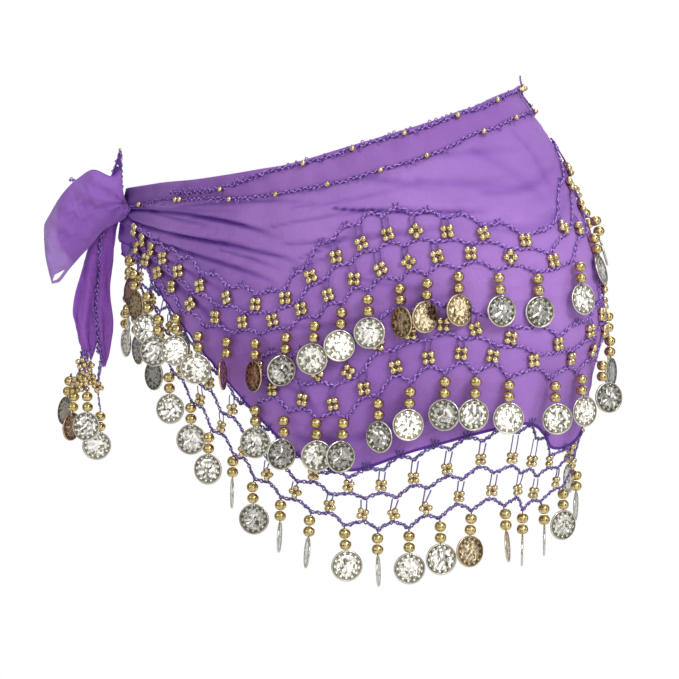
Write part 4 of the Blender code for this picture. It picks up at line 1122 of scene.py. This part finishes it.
def tailGrid(facts, columns, rows):
    down = np.linspace(facts["down"][0], facts["down"][-1], rows)
    width, left, pleat = (eased(facts["down"], facts[key], down)[:, None] for key in ("width", "left", "pleat"))
    v = np.linspace(0, 1, columns)[None]
    d = down[:, None]
    phase = 2 * np.pi * facts["pleats"] * (v + 0.07 * np.sin(d * 52 + 4 * v)) + 0.7 * np.sin(d * 38)
    depth = (
        facts["behind"] + pleat * np.cos(phase) - 0.012 * (v - 0.5) ** 2
        + 0.35 * pleat * np.sin(2.2 * phase + d * 60) * np.sin(d * 47 + 3 * v)
        + 0.0005 * np.sin(d * 420 + 9 * v + 2 * np.sin(d * 150)) * np.sin(d * 90 + 14 * v)
    )
    side = left + width * (v - 0.5 + 0.08 * np.sin(phase) / facts["pleats"]) + 0.0008 * np.sin(d * 140 + 5 * v)
    foot = d + 0.0035 * ramp(d, down[-1] - 0.020, down[-1]) * np.sin(9 * v + 1)
    return fromKnot(side, -foot, depth), np.stack([side, foot], -1)


def buildTail(name, facts):
    heap = Heap()
    addThinCloth(heap, *tailGrid(facts, 49, 60), tailFacts["thick"])
    return heap.build(name, chiffonTail)


tipFacts = dict(left=0.0050, apex=0.0006, width=0.0088, low=0.0140, high=0.0395, thick=0.0006, bead=0.0011)


def buildTip(facts):
    heap, cords, beads = Heap(), Heap(), Heap()
    share, v = np.linspace(0, 1, 16)[:, None], np.linspace(-0.5, 0.5, 13)[None]
    side = between(facts["left"], facts["apex"], share) + (facts["width"] * (1 - share) + 0.0008) * v
    up = between(facts["low"], facts["high"], share) + 0 * v
    grid = fromKnot(side, up, 0.001 - 0.020 * v * v * (1 - share) + 0.0008 * np.sin(v * 14) * (1 - share))
    addThinCloth(heap, grid, np.stack([side, up], -1), facts["thick"])
    for edge in (0, -1):
        addBraid(cords, grid[:, edge] + toFront * 0.0004, toFront, "fine")
    for n, lift, higher in ((9, 0.0011, 0), (15, 0.0014, 0.001)):
        addBeads(beads, smallBead, [grid[n, 6] + toFront * lift + toUp * higher], facts["bead"])
    for n in range(1, 15, 2):
        edge, way = (0, -toLeft) if n % 4 == 1 else (-1, toLeft)
        addPicot(cords, grid[n, edge] + toFront * 0.0006, toUp, way, toFront, 0.0013 * rng.uniform(0.7, 1.1))
    # a short end of the cord shows above the loop
    line = fromKnot(0.0335, 0.0192, 0.004) + unit(toLeft + toUp * 0.3) * np.linspace(-0.002, 0.002, 8)[:, None]
    addBraid(cords, line, toFront, "net")
    addPicot(cords, line[4], toLeft, toUp, toFront, 0.0024)
    return heap.build("cornerTip", chiffonKnot), cords, beads


knot = buildKnot(knotFacts)
bowLoop = buildLoop(loopFacts)
tailWide = buildTail("tailWide", tailFacts["wide"])
tailNarrow = buildTail("tailNarrow", tailFacts["narrow"])
cornerTip, knotCords, knotBeads = buildTip(tipFacts)
print("knot, loop and tails done")

laceFacts = dict(
    top=0.1020, edgeColumn=47,
    drops=(  # each hangs from the flower of that number
        dict(flower=2, left=.0368, front=-.010, root=.0125, swing=.0030, yaw=-56, tint=.15, coinSwing=0),
        dict(flower=0, left=.0333, front=-.004, root=.0228, swing=.0021, yaw=60, tint=.75, coinSwing=0),
        dict(flower=4, left=.0240, front=.004, root=.0221, swing=-.0006, yaw=-14, tint=0, coinSwing=.15),
        dict(flower=3, left=.0156, front=-.002, root=.0362, swing=.0000, yaw=6, tint=0, coinSwing=.28),
    ),
    flowers=(
        dict(left=.0280, down=.1063, front=.002, turn=20), dict(left=.0262, down=.1150, front=.003, turn=-25),
        dict(left=.0330, down=.1238, front=-.004, turn=10), dict(left=.0171, down=.1229, front=-.001, turn=30),
        dict(left=.0262, down=.1225, front=.002, turn=5),
        dict(left=.0232, down=.1085, front=.000, turn=-30), dict(left=.0305, down=.1178, front=.000, turn=35),
        dict(left=.0212, down=.1178, front=-.001, turn=15),
    ),
    threads=(  # from the tails' ends to the flowers
        dict(flower=0, left=.0282, front=-.001), dict(flower=0, left=.0272, front=.001),
        dict(flower=1, left=.0255, front=.001), dict(flower=1, left=.0240, front=.000),
        dict(flower=4, left=.0228, front=.000), dict(flower=3, left=.0140, front=-.002),
        dict(flower=3, left=.0122, front=-.002), dict(flower=5, left=.0232, front=.000),
        dict(flower=6, left=.0280, front=.000), dict(flower=7, left=.0218, front=.000),
    ),
)


def buildLace(facts, cords, beads):
    # the net's last threads at the tails' ends, with their small beads and four coin drops
    drops, coins = Heap(), Heap()
    draw = np.random.default_rng(31)
    heads = [fromKnot(row["left"], -row["down"], row["front"]) for row in facts["flowers"]]
    for row, head in zip(facts["flowers"], heads):
        x, y = turnedBy(-toLeft, toUp, math.radians(row["turn"]))
        lifts = [draw.uniform(-0.0006, 0.0006) for _ in range(4)]
        addFlower(beads, cords, netFacts["hanging"], head, x, y, toFront, ((0, 3), (1, 2)), lifts)
    for row in facts["threads"]:
        u = np.linspace(0, 1, 12)[:, None]
        line = between(fromKnot(row["left"], 0.004 - facts["top"], row["front"]), heads[row["flower"]], u)
        aside = toFront * 0.001 + toLeft * draw.uniform(-1, 1) * 0.0012
        addBraid(cords, line + aside * np.sin(np.pi * u), toFront, "fine")
    for row in facts["drops"]:
        start = fromKnot(row["left"], -facts["top"] - row["root"], row["front"])
        down = unit(-toUp + toLeft * row["swing"] / 0.02)
        u = np.linspace(0, 1, 10)[:, None]
        line = between(heads[row["flower"]], start, u) + toFront * 0.0006 * np.sin(np.pi * u)
        addBraid(cords, line, toFront, "fine")
        addDrop(
            cords, drops, coins, start, start, down, toFront, math.radians(row["yaw"]), 0.03, row["tint"],
            coinDown=unit(down + toLeft * row["coinSwing"]))
    grid, _ = tailGrid(tailFacts["narrow"], 49, 60)
    line = grid[5:57, facts["edgeColumn"]] + toFront * 0.0009
    addBraid(cords, line, toFront, "waist")
    for k in range(2, len(line) - 1, 2):
        way = toLeft * (1 if draw.random() < 0.5 else -1)
        addPicot(cords, line[k], toUp, way, toFront, 0.0022 * draw.uniform(0.6, 1.2))
    return (
        cords.build("tailLace", yarn), beads.build("tailLaceBeads", giltSmall),
        drops.build("tailDropBeads", gilt), coins.build("tailCoins", coinMetal))


tailLace, tailSmall, tailBeads, tailCoins = buildLace(laceFacts, knotCords, knotBeads)
print("tail lace done")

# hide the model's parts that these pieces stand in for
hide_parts("wrap_front", "wrap_back")
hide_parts("turnover_front", "turnover_back")
for piece, node in (
    (waistEdging, "edging_waist"), (turnoverEdging, "edging_turnover"), (knot, "knot"), (bowLoop, "bow_loop"),
    (tailWide, "tail_wide"), (tailNarrow, "tail_narrow"), (cornerTip, "corner_tip"), (tailCoins, "coins_tail"),
):
    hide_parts(node)
for name, (cords, flowers, drops, coins) in nets.items():
    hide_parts(f"{name}_net_front", f"{name}_net_back")
    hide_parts(f"coins_{name}_net_front", f"coins_{name}_net_back")

studio = dict(
    floorRadius=2.5, floorHeight=-0.85, aim=(0, 0, -0.03),
    lights=(
        dict(name="key", place=(2.0, -0.9, 1.3), wide=0.9, tall=0.9, power=25),
        dict(name="front", place=(1.36, -2.10, 0.35), wide=2.3, tall=1.7, power=10.5),
        dict(name="stripRight", place=(1.75, -1.15, 0.0), wide=0.45, tall=1.4, power=3),
        dict(name="side", place=(1.9, 0.6, 0.1), wide=0.7, tall=1.4, power=4),
        dict(name="fillLeft", place=(-0.75, -2.1, 0.45), wide=1.3, tall=1.3, power=7),
        dict(name="top", place=(0.3, 0.3, 2.2), wide=1.4, tall=1.4, power=13),
        dict(name="rim", place=(-0.6, 2.2, 1.0), wide=1.4, tall=1.4, power=12),
    ),
    room=(  # greys of the room's light, from the floor up
        (0.0, (0.36, 0.36, 0.355, 1)), (0.42, (0.20, 0.20, 0.195, 1)), (0.60, (0.24, 0.24, 0.24, 1)),
        (1.0, (0.50, 0.50, 0.51, 1))),
    backdrop=(0.80, 0.80, 0.80, 1),
)


def buildRoom(facts):
    mesh = bpy.data.meshes.new("floor")
    turn = np.linspace(0, 2 * np.pi, 65)[:-1]
    reach = facts["floorRadius"]
    spots = [(reach * math.cos(t), reach * math.sin(t), facts["floorHeight"]) for t in turn]
    mesh.from_pydata(spots, [], [tuple(range(64))])
    floorPaint, tree, shader = startMaterial("floorPaint")
    setSockets(tree, shader, {"Base Color": linear("F4F3F1"), "Roughness": 0.9})
    mesh.materials.append(floorPaint)
    addToScene("floor", mesh)
    for row in facts["lights"]:
        lamp = bpy.data.lights.new(row["name"], "AREA")
        lamp.shape, lamp.size, lamp.size_y, lamp.energy = "RECTANGLE", row["wide"], row["tall"], row["power"]
        made = addToScene(row["name"], lamp)
        made.location = row["place"]
        made.rotation_euler = (Vector(facts["aim"]) - Vector(row["place"])).to_track_quat("-Z", "Y").to_euler()


def buildWorld(facts):
    world = bpy.data.worlds.new("studio")
    bpy.context.scene.world = world
    world.use_nodes = True
    tree = world.node_tree
    tree.nodes.clear()
    ways = addNode(tree, "ShaderNodeTexCoord").outputs["Generated"]
    parts = addNode(tree, "ShaderNodeSeparateXYZ", {"Vector": ways})
    height = addNode(tree, "ShaderNodeMapRange", {
        "Value": parts.outputs["Z"], "From Min": -1.0, "From Max": 1.0, "To Min": 0.0, "To Max": 1.0})
    soft = addNode(tree, "ShaderNodeValToRGB", {"Fac": height.outputs["Result"]}, stops=facts["room"])
    seen = addNode(tree, "ShaderNodeLightPath").outputs
    # the pale backdrop behind the scarf, as polished metal mirrors it
    behind = addNode(tree, "ShaderNodeVectorMath", {0: ways, 1: tuple(-toEye)}, operation="DOT_PRODUCT")
    near = addNode(tree, "ShaderNodeMapRange", {
        "Value": behind.outputs["Value"], "From Min": 0.62, "From Max": 0.86, "To Min": 0.0, "To Max": 1.0})
    mirrored = addNode(tree, "ShaderNodeMath", {
        0: near.outputs["Result"], 1: seen["Is Glossy Ray"]}, operation="MULTIPLY")
    room, backdrop, plain = (
        addNode(tree, "ShaderNodeBackground", {"Color": colour, "Strength": 1.0}).outputs[0]
        for colour in (soft.outputs["Color"], facts["backdrop"], white))
    light = addNode(tree, "ShaderNodeMixShader", {0: mirrored.outputs[0], 1: room, 2: backdrop})
    both = addNode(tree, "ShaderNodeMixShader", {0: seen["Is Camera Ray"], 1: light.outputs[0], 2: plain})
    addNode(tree, "ShaderNodeOutputWorld", {"Surface": both.outputs[0]})


view = dict(
    azimuthDegrees=33, elevationDegrees=3, far=1.6, aimLeft=0.014, aimUp=-0.025,
    lens=36 * (1600 / 0.68) / 679,  # 0.68 mm of the scarf to each of the render's 679 points
)


def buildCamera(facts):
    a, e = math.radians(facts["azimuthDegrees"]), math.radians(facts["elevationDegrees"])
    back = Vector((math.sin(a) * math.cos(e), -math.cos(a) * math.cos(e), math.sin(e)))
    target = Vector((-facts["aimLeft"] * math.cos(a), -facts["aimLeft"] * math.sin(a), facts["aimUp"]))
    lens = bpy.data.cameras.new("camera")
    lens.lens, lens.sensor_width = facts["lens"], 36
    made = addToScene("camera", lens)
    made.location = target + back * facts["far"]
    made.rotation_euler = back.to_track_quat("Z", "Y").to_euler()
    bpy.context.scene.camera = made


buildRoom(studio)
buildWorld(studio)
buildCamera(view)
bpy.context.scene.view_settings.view_transform = "Standard"
print("room and camera done")
